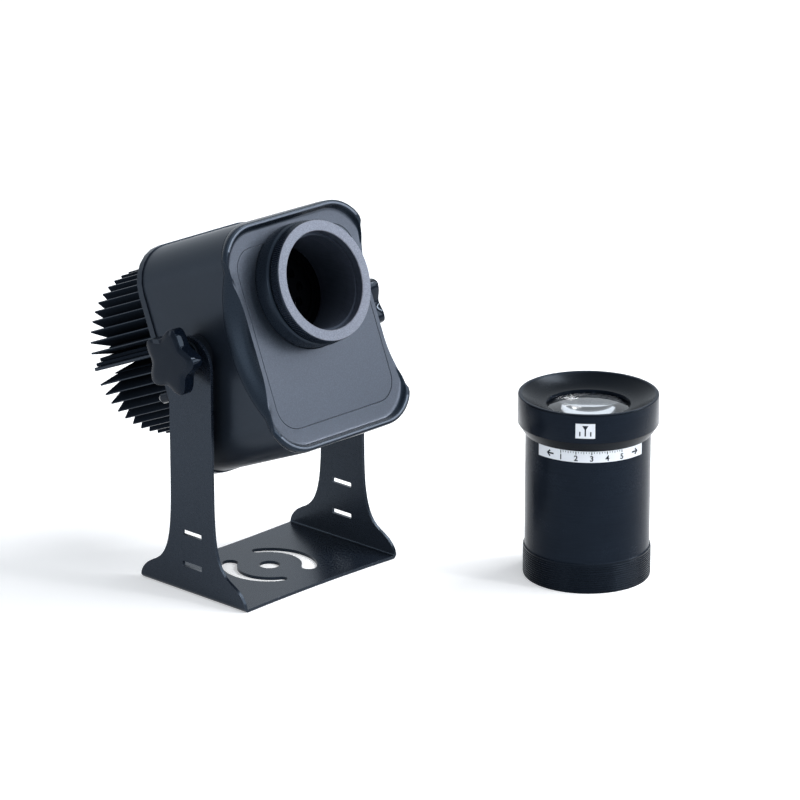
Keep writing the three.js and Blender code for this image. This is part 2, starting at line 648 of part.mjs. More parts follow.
const goboFront = goboBack + GOBO_HOLDER_LENGTH;
const goboSeat = goboBack + 0.4 * GOBO_HOLDER_LENGTH;
const goboInner = GOBO_RADIUS - GOBO_LEDGE;
place(optics, 'gobo_holder', turnedForward([
  [goboInner, goboBack], [GOBO_HOLDER_RADIUS, goboBack], [GOBO_HOLDER_RADIUS, goboFront],
  [GOBO_RADIUS + GAP, goboFront], [GOBO_RADIUS + GAP, goboSeat], [goboInner, goboSeat],
], FINE), blackMetal);
const petals = Array.from({ length: GOBO_HOLES }, (_, i) => {
  const angle = 2 * Math.PI * i / GOBO_HOLES;
  const out = 0.62 * goboInner;
  return circle(goboInner / 7, COARSE / 2, out * Math.cos(angle), out * Math.sin(angle));
});
const discFrom = goboSeat + GAP;
place(optics, 'gobo_disc', blockForward(circle(GOBO_RADIUS, FINE), discFrom, discFrom + GOBO_THICKNESS,
  [circle(goboInner / 4, COARSE / 2), ...petals]), steel);
const clipFrom = discFrom + GOBO_THICKNESS + GAP;
place(optics, 'gobo_clip', turnedForward(
  ringPairs(GOBO_RADIUS - GOBO_CLIP_WIDTH, GOBO_RADIUS, clipFrom, goboFront - GAP)), steel);

// Light source and condenser between heat sink and gobo
const rearPlateFront = SHELL_BACK + SEAL_THICKNESS + 2 * GAP;
const rearPlateBack = rearPlateFront + REAR_PLATE_THICKNESS;
const sinkFace = SHELL_BACK - SINK_BASE_RISE;
const boardFront = sinkFace - GAP - BOARD_THICKNESS;
place(optics, 'led_board', turnedForward([[0, -sinkFace + GAP], [LED_BOARD_RADIUS, -sinkFace + GAP],
  [LED_BOARD_RADIUS, -boardFront], [0, -boardFront]]), boardWhite);
const domePairs = (radius, from, height, steps) => Array.from({ length: steps + 1 }, (_, i) => {
  const angle = rad(90 * i / steps);
  return [radius * Math.cos(angle), from + height * Math.sin(angle)];
});
const emitterFrom = -boardFront + GAP;
place(optics, 'led_emitter', turnedForward([[0, emitterFrom],
  ...domePairs(EMITTER_RADIUS, emitterFrom, EMITTER_HEIGHT, 5).slice(0, -1),
  [0, emitterFrom + EMITTER_HEIGHT]]), phosphor);
const holderBack = emitterFrom + EMITTER_HEIGHT + GAP;
const holderFront = linerBack - GAP;
const seatBack = holderFront - CONDENSER_EDGE - CONDENSER_BULGE - 4 * GAP;
const coneInner = EMITTER_RADIUS + CONE_CLEARANCE;
place(optics, 'condenser_holder', turnedForward([
  [coneInner, holderBack], [coneInner + CONE_WALL, holderBack],
  [LINER_RADIUS, seatBack - 2 * CONE_WALL], [LINER_RADIUS, holderFront],
  [GOBO_RADIUS + GAP, holderFront], [GOBO_RADIUS + GAP, seatBack],
  [GOBO_RADIUS - CONDENSER_LEDGE, seatBack],
]), blackMetal);
const glassCap = (radius, from, bulge, steps = 5) => Array.from({ length: steps }, (_, i) => {
  const part = 1 - i / steps;
  return [radius * part, from + bulge * (1 - part * part)];
});
const condenserBack = seatBack + GAP;
place(optics, 'condenser_lens', turnedForward([[0, condenserBack], [GOBO_RADIUS, condenserBack],
  ...glassCap(GOBO_RADIUS, condenserBack + CONDENSER_EDGE, CONDENSER_BULGE),
  [0, condenserBack + CONDENSER_EDGE + CONDENSER_BULGE]]), glass);

// Rear plate, seal and screws
const rimOutline = roundedRect(HOUSING_WIDTH + 2 * REAR_RIM, HOUSING_HEIGHT + 2 * REAR_RIM,
  HOUSING_CORNER + REAR_RIM, -HOUSING_DROP);
const glandX = GLAND_SIDE_MARGIN - shellSide;
const glandReach = SINK_RADIUS + GLAND_CLEARANCE + GLAND_RADIUS;
const glandHeight = SINK_HEIGHT - Math.sqrt(glandReach * glandReach - glandX * glandX);
place(head, 'rear_plate', blockForward(rimOutline, -rearPlateBack, -rearPlateFront, [
  circle(SINK_BASE_RADIUS + GAP, FINE, 0, SINK_HEIGHT),
  ...corners.map(([x, z]) => circle(screwHole, COARSE / 2, x, z)),
  circle(GLAND_RADIUS / 2 + GAP, COARSE / 2, glandX, glandHeight),
]), powderCoat);
place(head, 'rear_seal', blockForward(inset(HOUSING_WALL / 3), -rearPlateFront + GAP, -SHELL_BACK - GAP,
  [inset(HOUSING_WALL)]), rubber);
corners.forEach(([x, z], i) => {
  const screw = join(
    turnedForward([[0, -SCREW_HEAD_HEIGHT / 2], [SCREW_RADIUS, -SCREW_HEAD_HEIGHT / 2],
      [SCREW_RADIUS, SCREW_LENGTH], [0, SCREW_LENGTH]], COARSE / 2),
    turnedForward([[0, -SCREW_HEAD_HEIGHT], [SCREW_HEAD_RADIUS / 2, -SCREW_HEAD_HEIGHT],
      [SCREW_HEAD_RADIUS, -SCREW_HEAD_HEIGHT / 2], [SCREW_HEAD_RADIUS, -GAP], [0, -GAP]], COARSE / 2),
  );
  const mesh = place(head, `rear_screw_${i + 1}`, screw, steel);
  mesh.position.set(x, rearPlateBack, z);
});

// Heat sink: round core, radial fins, and a base disc that reaches through the rear plate
function finOutline() {
  const points = [];
  const half = FIN_THICKNESS / 2;
  const rootHalf = Math.asin(half / SINK_CORE_RADIUS);
  const tipHalf = Math.asin(half / SINK_RADIUS);
  for (let i = 0; i < FIN_COUNT; i++) {
    const angle = 2 * Math.PI * (i + 0.5) / FIN_COUNT;
    const at = (radius, turn) => new THREE.Vector2(radius * Math.cos(turn), radius * Math.sin(turn));
    points.push(at(SINK_CORE_RADIUS, angle - rootHalf), at(SINK_RADIUS, angle - tipHalf),
      at(SINK_RADIUS, angle + tipHalf), at(SINK_CORE_RADIUS, angle + rootHalf));
  }
  return points;
}
const finFront = -rearPlateBack - GAP;
const sinkSolid = join(
  blockForward(finOutline(), finFront - SINK_LENGTH, finFront),
  blockForward(circle(SINK_BASE_RADIUS, FINE), finFront - SINK_BASE_RISE, -sinkFace),
);
place(head, 'heat_sink', sinkSolid, blackMetal).position.z = SINK_HEIGHT;

// Driver board on standoffs, with its potted module
const floorInside = -HOUSING_DROP - HOUSING_HEIGHT / 2 + HOUSING_WALL;
const boardBottom = floorInside + DRIVER_LEVEL;
const driverHalf = shellSide - DRIVER_SIDE_MARGIN;
const driverBack = -SHELL_BACK + DRIVER_BACK_MARGIN;
const driverFront = faceBack - DRIVER_FRONT_MARGIN;
const rectangle = (half, from, to) => [[-half, from], [half, from], [half, to], [-half, to]]
  .map(([x, y]) => new THREE.Vector2(x, y));
place(head, 'driver_board', blockForward(
  rectangle(driverHalf, boardBottom, boardBottom + BOARD_THICKNESS), driverBack, driverFront), boardGreen);
const moduleFrom = boardBottom + BOARD_THICKNESS + GAP;
place(head, 'driver_module', blockForward(
  rectangle(2 * driverHalf / 3, moduleFrom, moduleFrom + MODULE_HEIGHT),
  driverBack + MODULE_MARGIN, driverFront - MODULE_MARGIN), mattePlastic);
const standoff = turnedUpright([[0, floorInside + GAP], [STANDOFF_RADIUS, floorInside + GAP],
  [STANDOFF_RADIUS, boardBottom - GAP], [0, boardBottom - GAP]], COARSE / 2);
const footX = shellSide - HOUSING_CORNER - STANDOFF_RADIUS;
const footEnds = [driverBack + 2 * STANDOFF_RADIUS, spigotBack - 2 * STANDOFF_RADIUS];
[[-1, 0], [1, 0], [-1, 1], [1, 1]].forEach(([side, end], i) => {
  place(head, `driver_standoff_${i + 1}`, standoff, steel).position.set(side * footX, -footEnds[end], 0);
});

// Cable gland through the rear plate: hexagon, dome nut and threaded stub, bored for the cable
const glandBack = rearPlateBack + GAP;
const stubLap = GLAND_LENGTH / 6;
const glandSolid = cut(
  join(
    blockForward(circle(GLAND_RADIUS, 6), -glandBack - GLAND_LENGTH / 3, -glandBack),
    turnedForward([[0, -glandBack - GLAND_LENGTH], [GLAND_RADIUS / 2, -glandBack - GLAND_LENGTH],
      [0.8 * GLAND_RADIUS, -glandBack - 0.8 * GLAND_LENGTH],
      [0.8 * GLAND_RADIUS, -glandBack - GLAND_LENGTH / 4],
      [0, -glandBack - GLAND_LENGTH / 4]]),
    turnedForward([[0, -glandBack - stubLap], [GLAND_RADIUS / 2, -glandBack - stubLap],
      [GLAND_RADIUS / 2, stubLap - rearPlateFront], [0, stubLap - rearPlateFront]]),
  ),
  turnedForward([[0, -glandBack - 2 * GLAND_LENGTH], [GLAND_RADIUS / 3, -glandBack - 2 * GLAND_LENGTH],
    [GLAND_RADIUS / 3, 0], [0, 0]], COARSE / 2),
);
place(head, 'cable_gland', glandSolid, glossPlastic).position.set(glandX, 0, glandHeight);

// Lens barrel, standing on its rear sleeve; heights count up from the floor
const tubeInner = LENS_TUBE_RADIUS - LENS_TUBE_WALL;
const sleeveInner = NOSE_RING_RADIUS + GAP;
const hoodBottom = LENS_HEIGHT - HOOD_RIM_HEIGHT - HOOD_CHAMFER_HEIGHT;
const tubeTop = hoodBottom + HOOD_CHAMFER_HEIGHT - GAP;
const sleeveTop = SLEEVE_HEIGHT - SLEEVE_FLOOR;
const ridgeRoot = SLEEVE_RADIUS - SLEEVE_RIDGE_DEPTH;
const ridgePitch = (sleeveTop - SLEEVE_FLOOR) / SLEEVE_RIDGES;
const ridgePairs = [];
for (let i = 0; i < SLEEVE_RIDGES; i++) {
  const z = SLEEVE_FLOOR + ridgePitch * i;
  ridgePairs.push([ridgeRoot, z], [SLEEVE_RADIUS, z + ridgePitch / 2]);
}
place(lens, 'lens_tube', turnedUpright([
  [sleeveInner, 0], [ridgeRoot, 0], ...ridgePairs, [ridgeRoot, sleeveTop], [ridgeRoot, SLEEVE_HEIGHT],
  [LENS_TUBE_RADIUS, SLEEVE_HEIGHT], [LENS_TUBE_RADIUS, tubeTop], [tubeInner, tubeTop],
  [tubeInner, sleeveTop], [sleeveInner, sleeveTop],
], FINE), blackMetal);

const openingTop = LENS_HEIGHT - HOOD_FUNNEL_DEPTH;
const openingBottom = openingTop - HOOD_LAND;
const glassSeat = FRONT_GLASS_RADIUS + GAP;
const seatBottom = openingBottom - GLASS_EDGE - 4 * GAP;
place(lens, 'lens_hood', turnedUpright([
  [LENS_TUBE_RADIUS + GAP, hoodBottom], [HOOD_RADIUS, hoodBottom + HOOD_CHAMFER_HEIGHT],
  [HOOD_RADIUS, LENS_HEIGHT - HOOD_EDGE], [HOOD_RADIUS - HOOD_EDGE, LENS_HEIGHT],
  [HOOD_RADIUS - 2 * HOOD_EDGE, LENS_HEIGHT], [HOOD_RADIUS - 2.5 * HOOD_EDGE, LENS_HEIGHT - HOOD_EDGE / 2],
  [HOOD_OPENING_RADIUS, openingTop], [HOOD_OPENING_RADIUS, openingBottom],
  [glassSeat, openingBottom], [glassSeat, seatBottom], [tubeInner - GAP, seatBottom],
  [tubeInner - GAP, tubeTop + GAP], [LENS_TUBE_RADIUS + GAP, tubeTop + GAP],
], FINE), blackMetal);

function doubleConvex(radius, from, edge, bulge, steps = 4) {
  const top = from + edge;
  const lower = glassCap(radius, from, -bulge, steps).reverse();
  return [[0, from - bulge], ...lower, ...glassCap(radius, top, bulge, steps), [0, top + bulge]];
}
const frontGlassFrom = openingBottom - 3 * GAP - GLASS_EDGE;
place(lens, 'lens_front_glass', turnedUpright(
  doubleConvex(FRONT_GLASS_RADIUS, frontGlassFrom, GLASS_EDGE, GLASS_BULGE)), glass);
place(lens, 'lens_front_ring', turnedUpright(ringPairs(FRONT_GLASS_RADIUS - LENS_RING_WIDTH,
  tubeInner - 2 * GAP, seatBottom - GAP - LENS_RING_HEIGHT, seatBottom - GAP)), blackMetal);

const rearRingFrom = sleeveTop + GAP;
const rearRingTop = rearRingFrom + LENS_RING_HEIGHT;
const rearGlassRadius = tubeInner - 2 * GAP;
place(lens, 'lens_rear_ring', turnedUpright(
  ringPairs(rearGlassRadius - LENS_RING_WIDTH, rearGlassRadius, rearRingFrom, rearRingTop)), blackMetal);
const rearGlassFrom = rearRingTop + 2 * GAP;
place(lens, 'lens_rear_glass', turnedUpright(
  doubleConvex(rearGlassRadius, rearGlassFrom, GLASS_EDGE, GLASS_BULGE)), glass);
place(lens, 'lens_baffle', turnedUpright(ringPairs(rearGlassRadius - LENS_RING_WIDTH, rearGlassRadius,
  rearGlassFrom + GLASS_EDGE + 2 * GAP, seatBottom - 2 * GAP - LENS_RING_HEIGHT)), mattePlastic);

// The origin is the middle of the footprint of the whole object, on the floor
projector.updateMatrixWorld(true);
const bounds = new THREE.Box3().setFromObject(projector, true);
projector.position.set(-(bounds.min.x + bounds.max.x) / 2, -(bounds.min.y + bounds.max.y) / 2, 0);
projector.updateMatrixWorld(true);

export default projector;
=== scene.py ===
import json
import math

import bmesh
import bpy
from bpy.props import FloatProperty, FloatVectorProperty, IntProperty, PointerProperty
from mathutils import Matrix, Vector


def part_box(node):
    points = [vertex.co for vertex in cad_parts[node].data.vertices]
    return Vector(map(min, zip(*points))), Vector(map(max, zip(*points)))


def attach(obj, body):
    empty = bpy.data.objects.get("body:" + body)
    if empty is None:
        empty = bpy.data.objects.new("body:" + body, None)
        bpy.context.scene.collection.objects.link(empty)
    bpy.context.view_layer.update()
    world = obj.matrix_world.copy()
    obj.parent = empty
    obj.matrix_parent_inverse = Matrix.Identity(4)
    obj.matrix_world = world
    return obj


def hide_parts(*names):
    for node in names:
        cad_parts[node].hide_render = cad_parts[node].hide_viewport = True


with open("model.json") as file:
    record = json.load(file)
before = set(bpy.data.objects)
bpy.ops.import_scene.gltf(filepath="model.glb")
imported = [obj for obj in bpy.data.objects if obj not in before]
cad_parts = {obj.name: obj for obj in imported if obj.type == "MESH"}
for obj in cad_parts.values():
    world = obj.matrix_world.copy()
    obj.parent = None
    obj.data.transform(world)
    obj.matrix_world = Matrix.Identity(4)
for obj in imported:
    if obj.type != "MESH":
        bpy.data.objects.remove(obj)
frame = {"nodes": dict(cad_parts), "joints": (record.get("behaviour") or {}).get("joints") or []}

bl_info = {
    "name": "Gobo projector",
    "version": (1, 0, 0),
    "blender": (4, 5, 0),
    "location": "3D View > Sidebar > Projector",
    "description": "Builds a tilting gobo projector with its lens barrel standing beside it",
    "category": "Add Mesh",
}

MM = 0.001
QUARTER = math.pi / 2
# Points closer than this are one
WELD = 1e-6
# Faces that meet at more degrees than this show a crease
CREASE = 35
# How far the floor is lifted to white for the camera, beyond what the lamps give it
LIFT = 0.36
# Tints of the sheen on the dark coats, and on the bezel's grained front
COOL = (0.55, 0.74, 1.0, 1.0)
MILD = (0.67, 0.775, 1.0, 1.0)
JOINTS = {joint["name"]: joint for joint in frame["joints"]}
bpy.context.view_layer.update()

# The head's own axes: X across, -Y forward, Z up, from the tilt pivot
PIVOT = Vector(JOINTS["head_tilt"]["pos_m"])
BEAM = Vector(JOINTS["gobo_slide"]["axis"]).normalized()
HEAD = Matrix.Translation(PIVOT) @ Matrix.Rotation(-math.atan2(BEAM.z, -BEAM.y), 4, "X")
# Turned pieces are drawn about Z; this lays their height along the beam
FORWARD = Matrix.Rotation(QUARTER, 4, "X")
# The middle of the base plate's underside
FOOT = Matrix.Translation((PIVOT.x, PIVOT.y, 0))

def length(name, millimetres, description):
    return FloatProperty(name=name, description=description, default=millimetres * MM,
                         min=0.0, unit="LENGTH", precision=5)


def count(name, number, description):
    return IntProperty(name=name, description=description, default=number, min=3)


def angle(name, degrees, description):
    return FloatProperty(name=name, description=description, default=math.radians(degrees), unit="ROTATION")


def colour(name, red, green, blue, description):
    return FloatVectorProperty(name=name, description=description, default=(red, green, blue),
                               size=3, subtype="COLOR", min=0.0, max=1.0)


# ---------------------------------------------------------------- sizes and colours

class YokeSizes(bpy.types.PropertyGroup):
    width: length("Width", 132, "Width over the two arms")
    depth: length("Depth", 91, "Depth of the base plate")
    waist: length("Waist", 2, "How far the base plate's front and rear edges are drawn in")
    plate: length("Plate", 2, "Thickness of the bent plate")
    bend: length("Bend radius", 3, "Outer radius of the two bends")
    arm: length("Arm width", 36.0, "Width of an arm")
    top: length("Arm height", 165.2, "Height of the arms")
    slot_length: length("Slot length", 16.4, "Length of the strap slots in the arms")
    slot_width: length("Slot width", 3.2, "Width of the strap slots in the arms")
    slot_low: length("Lower slot", 18.7, "Height of the lower strap slot")
    slot_high: length("Upper slot", 39.2, "Height of the upper strap slot")
    hole: length("Centre hole radius", 6.5, "Radius of the base's centre hole")
    arc_radius: length("Arc slot radius", 29.4, "Outer radius of the arc slots")
    arc_wide: length("Arc slot wide end", 9.6, "Width of an arc slot at its wide end")
    arc_narrow: length("Arc slot narrow end", 6.8, "Width of an arc slot at its narrow end")
    arc_from: angle("Arc slot start", -54, "Direction of an arc slot's wide end")
    arc_to: angle("Arc slot end", 62, "Direction of an arc slot's narrow end")
    stud: length("Stud hole radius", 4.3, "Radius of the pivot holes in the arms")


class HousingSizes(bpy.types.PropertyGroup):
    width: length("Width", 114, "Width of the housing")
    height: length("Height", 142, "Height of the housing")
    corner: length("Corner radius", 25, "Radius of the housing's corners")
    drop: length("Drop", 3.5, "How far the housing's centre lies below the pivot")
    wall: length("Wall", 2.2, "Wall thickness of the shell")
    back: length("Back", 32.4, "Distance of the shell's rear edge behind the pivot")
    front: length("Front", 40, "Distance of the shell's front edge before the pivot")
    plate_front: length("Rear plate front", 34, "Distance of the rear plate's front behind the pivot")
    plate_back: length("Rear plate back", 38.4, "Distance of the rear plate's back behind the pivot")
    pivot_hole: length("Pivot hole radius", 4.3, "Radius of the holes for the pivot inserts")
    screw_radius: length("Screw head radius", 2.9, "Radius of the rear screws' heads")
    screw_height: length("Screw head height", 2.2, "Height of the rear screws' heads")


class BezelSizes(bpy.types.PropertyGroup):
    gap: length("Seam", 0.3, "Gap between the bezel, the shell and the cover plate")
    face: length("Face", 43, "Distance of the recessed face before the pivot")
    lip: length("Lip", 46.8, "Distance of the lip's top before the pivot")
    flare: length("Flare", 4, "How far the lip stands out past the housing's sides")
    face_inset: length("Face inset", 6.4, "Distance from the lip's outside to the flat face")
    scoop_start: length("Scoop start", 26.4, "Distance of the side scoops' rear edge before the pivot")
    scoop_radius: length("Scoop radius", 81, "Radius of the arc that bounds each side scoop")
    scoop_depth: length("Scoop depth", 4.8, "Depth of the side scoops at the face")
    cover_width: length("Cover width", 98.4, "Width of the flush cover plate")
    cover_height: length("Cover height", 112.2, "Height of the flush cover plate")
    cover_corner: length("Cover corner", 15, "Corner radius of the cover plate")
    cover_thickness: length("Cover thickness", 1.6, "Thickness of the cover plate")
    collar: length("Collar radius", 38.2, "Radius of the collar round the nose")
    collar_neck: length("Collar neck radius", 37.2, "Radius of the collar's front edge")


class NoseSizes(bpy.types.PropertyGroup):
    axis: length("Axis height", 21.4, "Height of the optical axis above the pivot")
    collar_step: length("Collar step", 52.8, "Distance of the collar's shoulder before the pivot")
    collar_front: length("Collar front", 53.9, "Distance of the collar's front before the pivot")
    knurl_back: length("Knurl back", 54.9, "Distance of the knurl's rear edge before the pivot")
    front: length("Front", 62.1, "Distance of the nose ring's front before the pivot")
    radius: length("Ring radius", 37.2, "Radius over the nose ring's knurl")
    bore: length("Bore radius", 30.2, "Radius of the nose ring's bore")
    neck: length("Neck radius", 35.7, "Radius of the groove behind the knurl")
    seat: length("Seat radius", 30.7, "Inner radius of the collar and of the ring's rear end")
    knurls: count("Knurls", 160, "Number of straight knurls round the nose ring")
    knurl_depth: length("Knurl depth", 0.45, "Depth of the knurl")
    liner: length("Liner radius", 30.4, "Outer radius of the liner tube")
    liner_wall: length("Liner wall", 1.8, "Wall of the liner tube")
    liner_back: length("Liner back", 14, "Distance of the liner's rear end before the pivot")
    thread_pitch: length("Thread pitch", 0.9, "Pitch of the fine thread inside the nose")


class SinkSizes(bpy.types.PropertyGroup):
    height: length("Axis height", 5.4, "Height of the heat sink's axis above the pivot")
    radius: length("Fin radius", 52.2, "Radius over the fins")
    core: length("Core radius", 18, "Radius of the solid core")
    base: length("Base radius", 29, "Radius of the base disc that reaches through the rear plate")
    front: length("Front", 38.7, "Distance of the fins' front behind the pivot")
    length: length("Length", 65.8, "Length of the fins")
    fins: count("Fins", 48, "Number of fins")
    thickness: length("Fin thickness", 1.3, "Thickness of a fin")
    short_radius: length("Short fin radius", 37.6, "Radius over the short fins")
    short_turn: angle("Short fin turn", 2.3, "Angle between a long fin and its short one")
    rib: length("Rib thickness", 5.0, "Thickness of the two layered ribs at the sides")


class KnobSizes(bpy.types.PropertyGroup):
    radius: length("Radius", 20.9, "Radius over the knob's lobes")
    valley: length("Valley", 5.8, "Depth of the valleys between the lobes")
    lobes: count("Lobes", 5, "Number of lobes")
    thickness: length("Thickness", 9.4, "Thickness of the lobed head")
    edge: length("Edge", 1.3, "Radius of the lobed head's edges")
    hub: length("Hub radius", 8.8, "Radius of the knob's hub")
    bore: length("Bore radius", 4.3, "Radius of the hub's bore")
    turn: angle("Turn", 20.3, "Turn of the first lobe from the pivot's front")
    near_turn: angle("Near turn", -9, "Further turn of the left knob's lobes")
    far_turn: angle("Far turn", 36, "Further turn of the right knob's lobes")
    start: length("Start", 74.4, "Distance of the lobed head from the pivot's middle")
    hub_start: length("Hub start", 68.1, "Distance of the hub's end from the pivot's middle")


class LensSizes(bpy.types.PropertyGroup):
    height: length("Height", 116.2, "Height of the standing lens barrel")
    tube: length("Tube radius", 38.4, "Outer radius of the barrel")
    tube_inner: length("Tube bore", 34.5, "Inner radius of the barrel")
    sleeve: length("Sleeve radius", 39.4, "Radius over the rear sleeve's thread")
    sleeve_inner: length("Sleeve bore", 37.5, "Inner radius of the rear sleeve")
    sleeve_height: length("Sleeve height", 19, "Height of the rear sleeve")
    thread_count: count("Thread turns", 12, "Number of thread ridges on the sleeve")
    thread_depth: length("Thread depth", 0.42, "Depth of the sleeve's thread")
    hood: length("Hood radius", 43.1, "Radius of the hood")
    hood_rim: length("Hood rim", 18, "Height of the hood's straight rim")
    hood_chamfer: length("Hood chamfer", 6.3, "Height of the chamfer under the hood")
    funnel: length("Funnel depth", 6.6, "Depth of the funnel in the hood")
    opening: length("Opening radius", 25.8, "Radius of the front opening")
    glass: length("Glass radius", 28, "Radius of the front element")
    bulge: length("Glass bulge", 4.0, "Rise of the front element's crown")


class LabelSizes(bpy.types.PropertyGroup):
    facing: angle("Facing", -46.42, "Direction that the labels face, counted from the front")
    plate_low: length("Plate bottom", 101.4, "Height of the small plate's lower edge")
    plate_high: length("Plate top", 110.7, "Height of the small plate's upper edge")
    plate_width: length("Plate width", 11.9, "Width of the small plate")
    strip_low: length("Strip bottom", 84.4, "Height of the scale strip's lower edge")
    strip_high: length("Strip top", 91.5, "Height of the scale strip's upper edge")
    strip_span: angle("Strip span", 108, "Angle that the scale strip covers round the tube")
    thickness: length("Thickness", 0.15, "Thickness of the label stock")


class Finishes(bpy.types.PropertyGroup):
    yoke: colour("Yoke coat", 0.0055, 0.0082, 0.0138, "Powder coat of the yoke")
    housing: colour("Housing coat", 0.0078, 0.0108, 0.0165, "Powder coat of the housing")
    bezel: colour("Bezel coat", 0.0115, 0.0160, 0.0225, "Grained coat of the bezel's front")
    cheek: colour("Cheek coat", 0.010, 0.0145, 0.022, "Smooth coat of the bezel's sides")
    # The edge tone is a painted highlight: a light line on the bezel lip's crest
    edge: colour("Edge coat", 0.095, 0.108, 0.135, "Light tone on the lip's crest, a painted highlight")
    # The rim tone is a painted highlight along the yoke's eased edges
    rim: colour("Rim coat", 0.16, 0.175, 0.215, "Eased edges of the yoke's plate")
    # The nose ring's front is a grained coat whose light tone also paints its bright reflection
    nose: colour("Nose coat", 0.120, 0.117, 0.138, "Grained coat of the nose ring's front")
    fins: colour("Fin black", 0.0125, 0.0172, 0.0255, "Anodised heat sink")
    barrel: colour("Barrel black", 0.0070, 0.0102, 0.0165, "Anodised lens barrel")
    # A blackened funnel, darker still as painted shade; the chamfer under the hood takes it too, as painted
    # shade
    funnel: colour("Funnel black", 0.0016, 0.0022, 0.0032, "Blackened funnel of the hood, darker still as painted shade, as is the chamfer under it")
    knob: colour("Knob black", 0.0022, 0.0042, 0.0088, "Moulded knobs")
    # The gobo set deep in the nose is kept nearly black, with almost no sheen, as painted shade
    gobo: colour("Blackened steel", 0.0007, 0.0009, 0.0014, "Blackened steel of the gobo set")
    bore: colour("Bore black", 0.026, 0.032, 0.046, "Blackened inside of the nose")
    steel: colour("Zinc plate", 0.46, 0.46, 0.47, "Zinc plated hardware")
    label: colour("Label stock", 0.755, 0.785, 0.825, "White label stock")
    ink: colour("Ink", 0.012, 0.013, 0.016, "Label print")
    grain: length("Grain", 0.75, "Size of a grain in the coats")


class StageSizes(bpy.types.PropertyGroup):
    floor: length("Floor", 14000, "Width of the floor")
    lens: FloatProperty(name="Focal length", description="Focal length of the camera in millimetres",
                        default=221.13, min=1.0)
    azimuth: angle("Azimuth", -46.42, "Direction from which the camera looks")
    elevation: angle("Elevation", 18.68, "Height of the camera above the horizon")
    across: length("Across", 80.6, "Camera place to the right of the yoke's foot")
    above: length("Above", 103.4, "Camera place above the yoke's foot, square to the view")
    away: length("Away", 3034.9, "Distance of the camera")


GROUPS = {
    "yoke": YokeSizes, "housing": HousingSizes, "bezel": BezelSizes, "nose": NoseSizes, "sink": SinkSizes,
    "knob": KnobSizes, "lens": LensSizes, "labels": LabelSizes, "finishes": Finishes, "stage": StageSizes,
}


def sizes(context, name):
    return getattr(context.scene, "projector_" + name)


# ---------------------------------------------------------------- finishes

# Powder coats: name, colour, part of the grain, speck, roughness, relief, sheen and its tint
COATS = (
    ("Yoke coat", "yoke", 1.0, 0.08, 0.28, 0.010, 0.34, COOL),
    ("Housing coat", "housing", 1.0, 0.08, 0.33, 0.03, 0.29, COOL),
    ("Bezel coat", "bezel", 1.0, 0.45, 0.33, 0.40, 0.64, MILD),
    ("Cheek coat", "cheek", 1.0, 0.16, 0.28, 0.12, 0.20, COOL),
    # The edge tone is a painted highlight on the lip's crest
    ("Edge coat", "edge", 1.0, 0.06, 0.22, 0.03, 0.36, COOL),
    # The rim tone is a painted highlight on the yoke's eased edges
    ("Rim coat", "rim", 1.0, 0.06, 0.22, 0.03, 0.36, COOL),
    # The nose tone is a grained coat lightened as a painted highlight
    ("Nose coat", "nose", 1.0, 0.26, 0.34, 0.20, 0.70, COOL),
    ("Fin black", "fins", 0.8, 0.12, 0.40, 0.08, 0.0, COOL),
)
# Turned metals: name, colour, its strength, rings, roughness, relief, sheen and metallic
TURNINGS = (
    ("Barrel black", "barrel", 1.0, 2600.0, 0.24, 0.03, 0.08, 0.0),
    ("Sleeve black", "barrel", 0.6, 900.0, 0.24, 0.0, 0.09, 0.0),
    # The funnel tone is darkened as painted shade in the funnel and under the hood
    ("Funnel black", "funnel", 1.0, 2600.0, 0.24, 0.03, 0.10, 0.0),
    ("Bore black", "bore", 1.0, 2200.0, 0.45, 0.08, 0.16, 0.0),
    ("Zinc plate", "steel", 1.0, 1800.0, 0.28, 0.08, 0.5, 1.0),
    # The gobo tone is nearly black without sheen, painted shade deep in the nose
    ("Blackened steel", "gobo", 1.0, 1500.0, 0.6, 0.08, 0.01, 0.0),
)
# Matt stocks: name, two near tones, scale of the noise, roughness, relief and sheen
STOCKS = (
    ("Matt black plastic", (0.0045, 0.006, 0.0085), (0.007, 0.009, 0.012), 700.0, 0.5, 0.1, 0.16),
    ("Seal rubber", (0.0095, 0.0125, 0.018), (0.013, 0.017, 0.024), 500.0, 0.5, 0.1, 0.25),
    ("Board mask", (0.012, 0.065, 0.032), (0.02, 0.10, 0.05), 260.0, 0.35, 0.1, 0.5),
    ("White board", (0.62, 0.62, 0.58), (0.70, 0.70, 0.66), 400.0, 0.45, 0.1, 0.5),
    ("Phosphor", (0.72, 0.50, 0.06), (0.80, 0.60, 0.12), 900.0, 0.5, 0.1, 0.5),
)
# What a coat's or a turned metal's group gives
SURFACE = (("Colour", "Color"), ("Roughness", "Float"), ("Height", "Float"))


def feed(tree, node, values):
    """Links the node's inputs to the sockets given for them, and sets them to plain values."""
    for label, value in values.items():
        if isinstance(value, bpy.types.NodeSocket):
            tree.links.new(value, node.inputs[label])
        elif value is not None:
            node.inputs[label].default_value = value


def node_group(name, inputs, outputs):
    """An empty shader group with its sockets: the group, its inputs by name and its output node."""
    group = bpy.data.node_groups.new(name, "ShaderNodeTree")
    for label, kind, default in inputs:
        socket = group.interface.new_socket(label, in_out="INPUT", socket_type="NodeSocket" + kind)
        if default is not None:
            socket.default_value = default
    for label, kind in outputs:
        group.interface.new_socket(label, in_out="OUTPUT", socket_type="NodeSocket" + kind)
    start, end = group.nodes.new("NodeGroupInput"), group.nodes.new("NodeGroupOutput")
    start.location, end.location = (-900, 0), (500, 0)
    return group, start.outputs, end


def noise(tree, vector, scale, detail, roughness=0.5):
    node = tree.nodes.new("ShaderNodeTexNoise")
    feed(tree, node, {"Vector": vector, "Scale": scale, "Detail": detail, "Roughness": roughness})
    return node.outputs["Fac"]


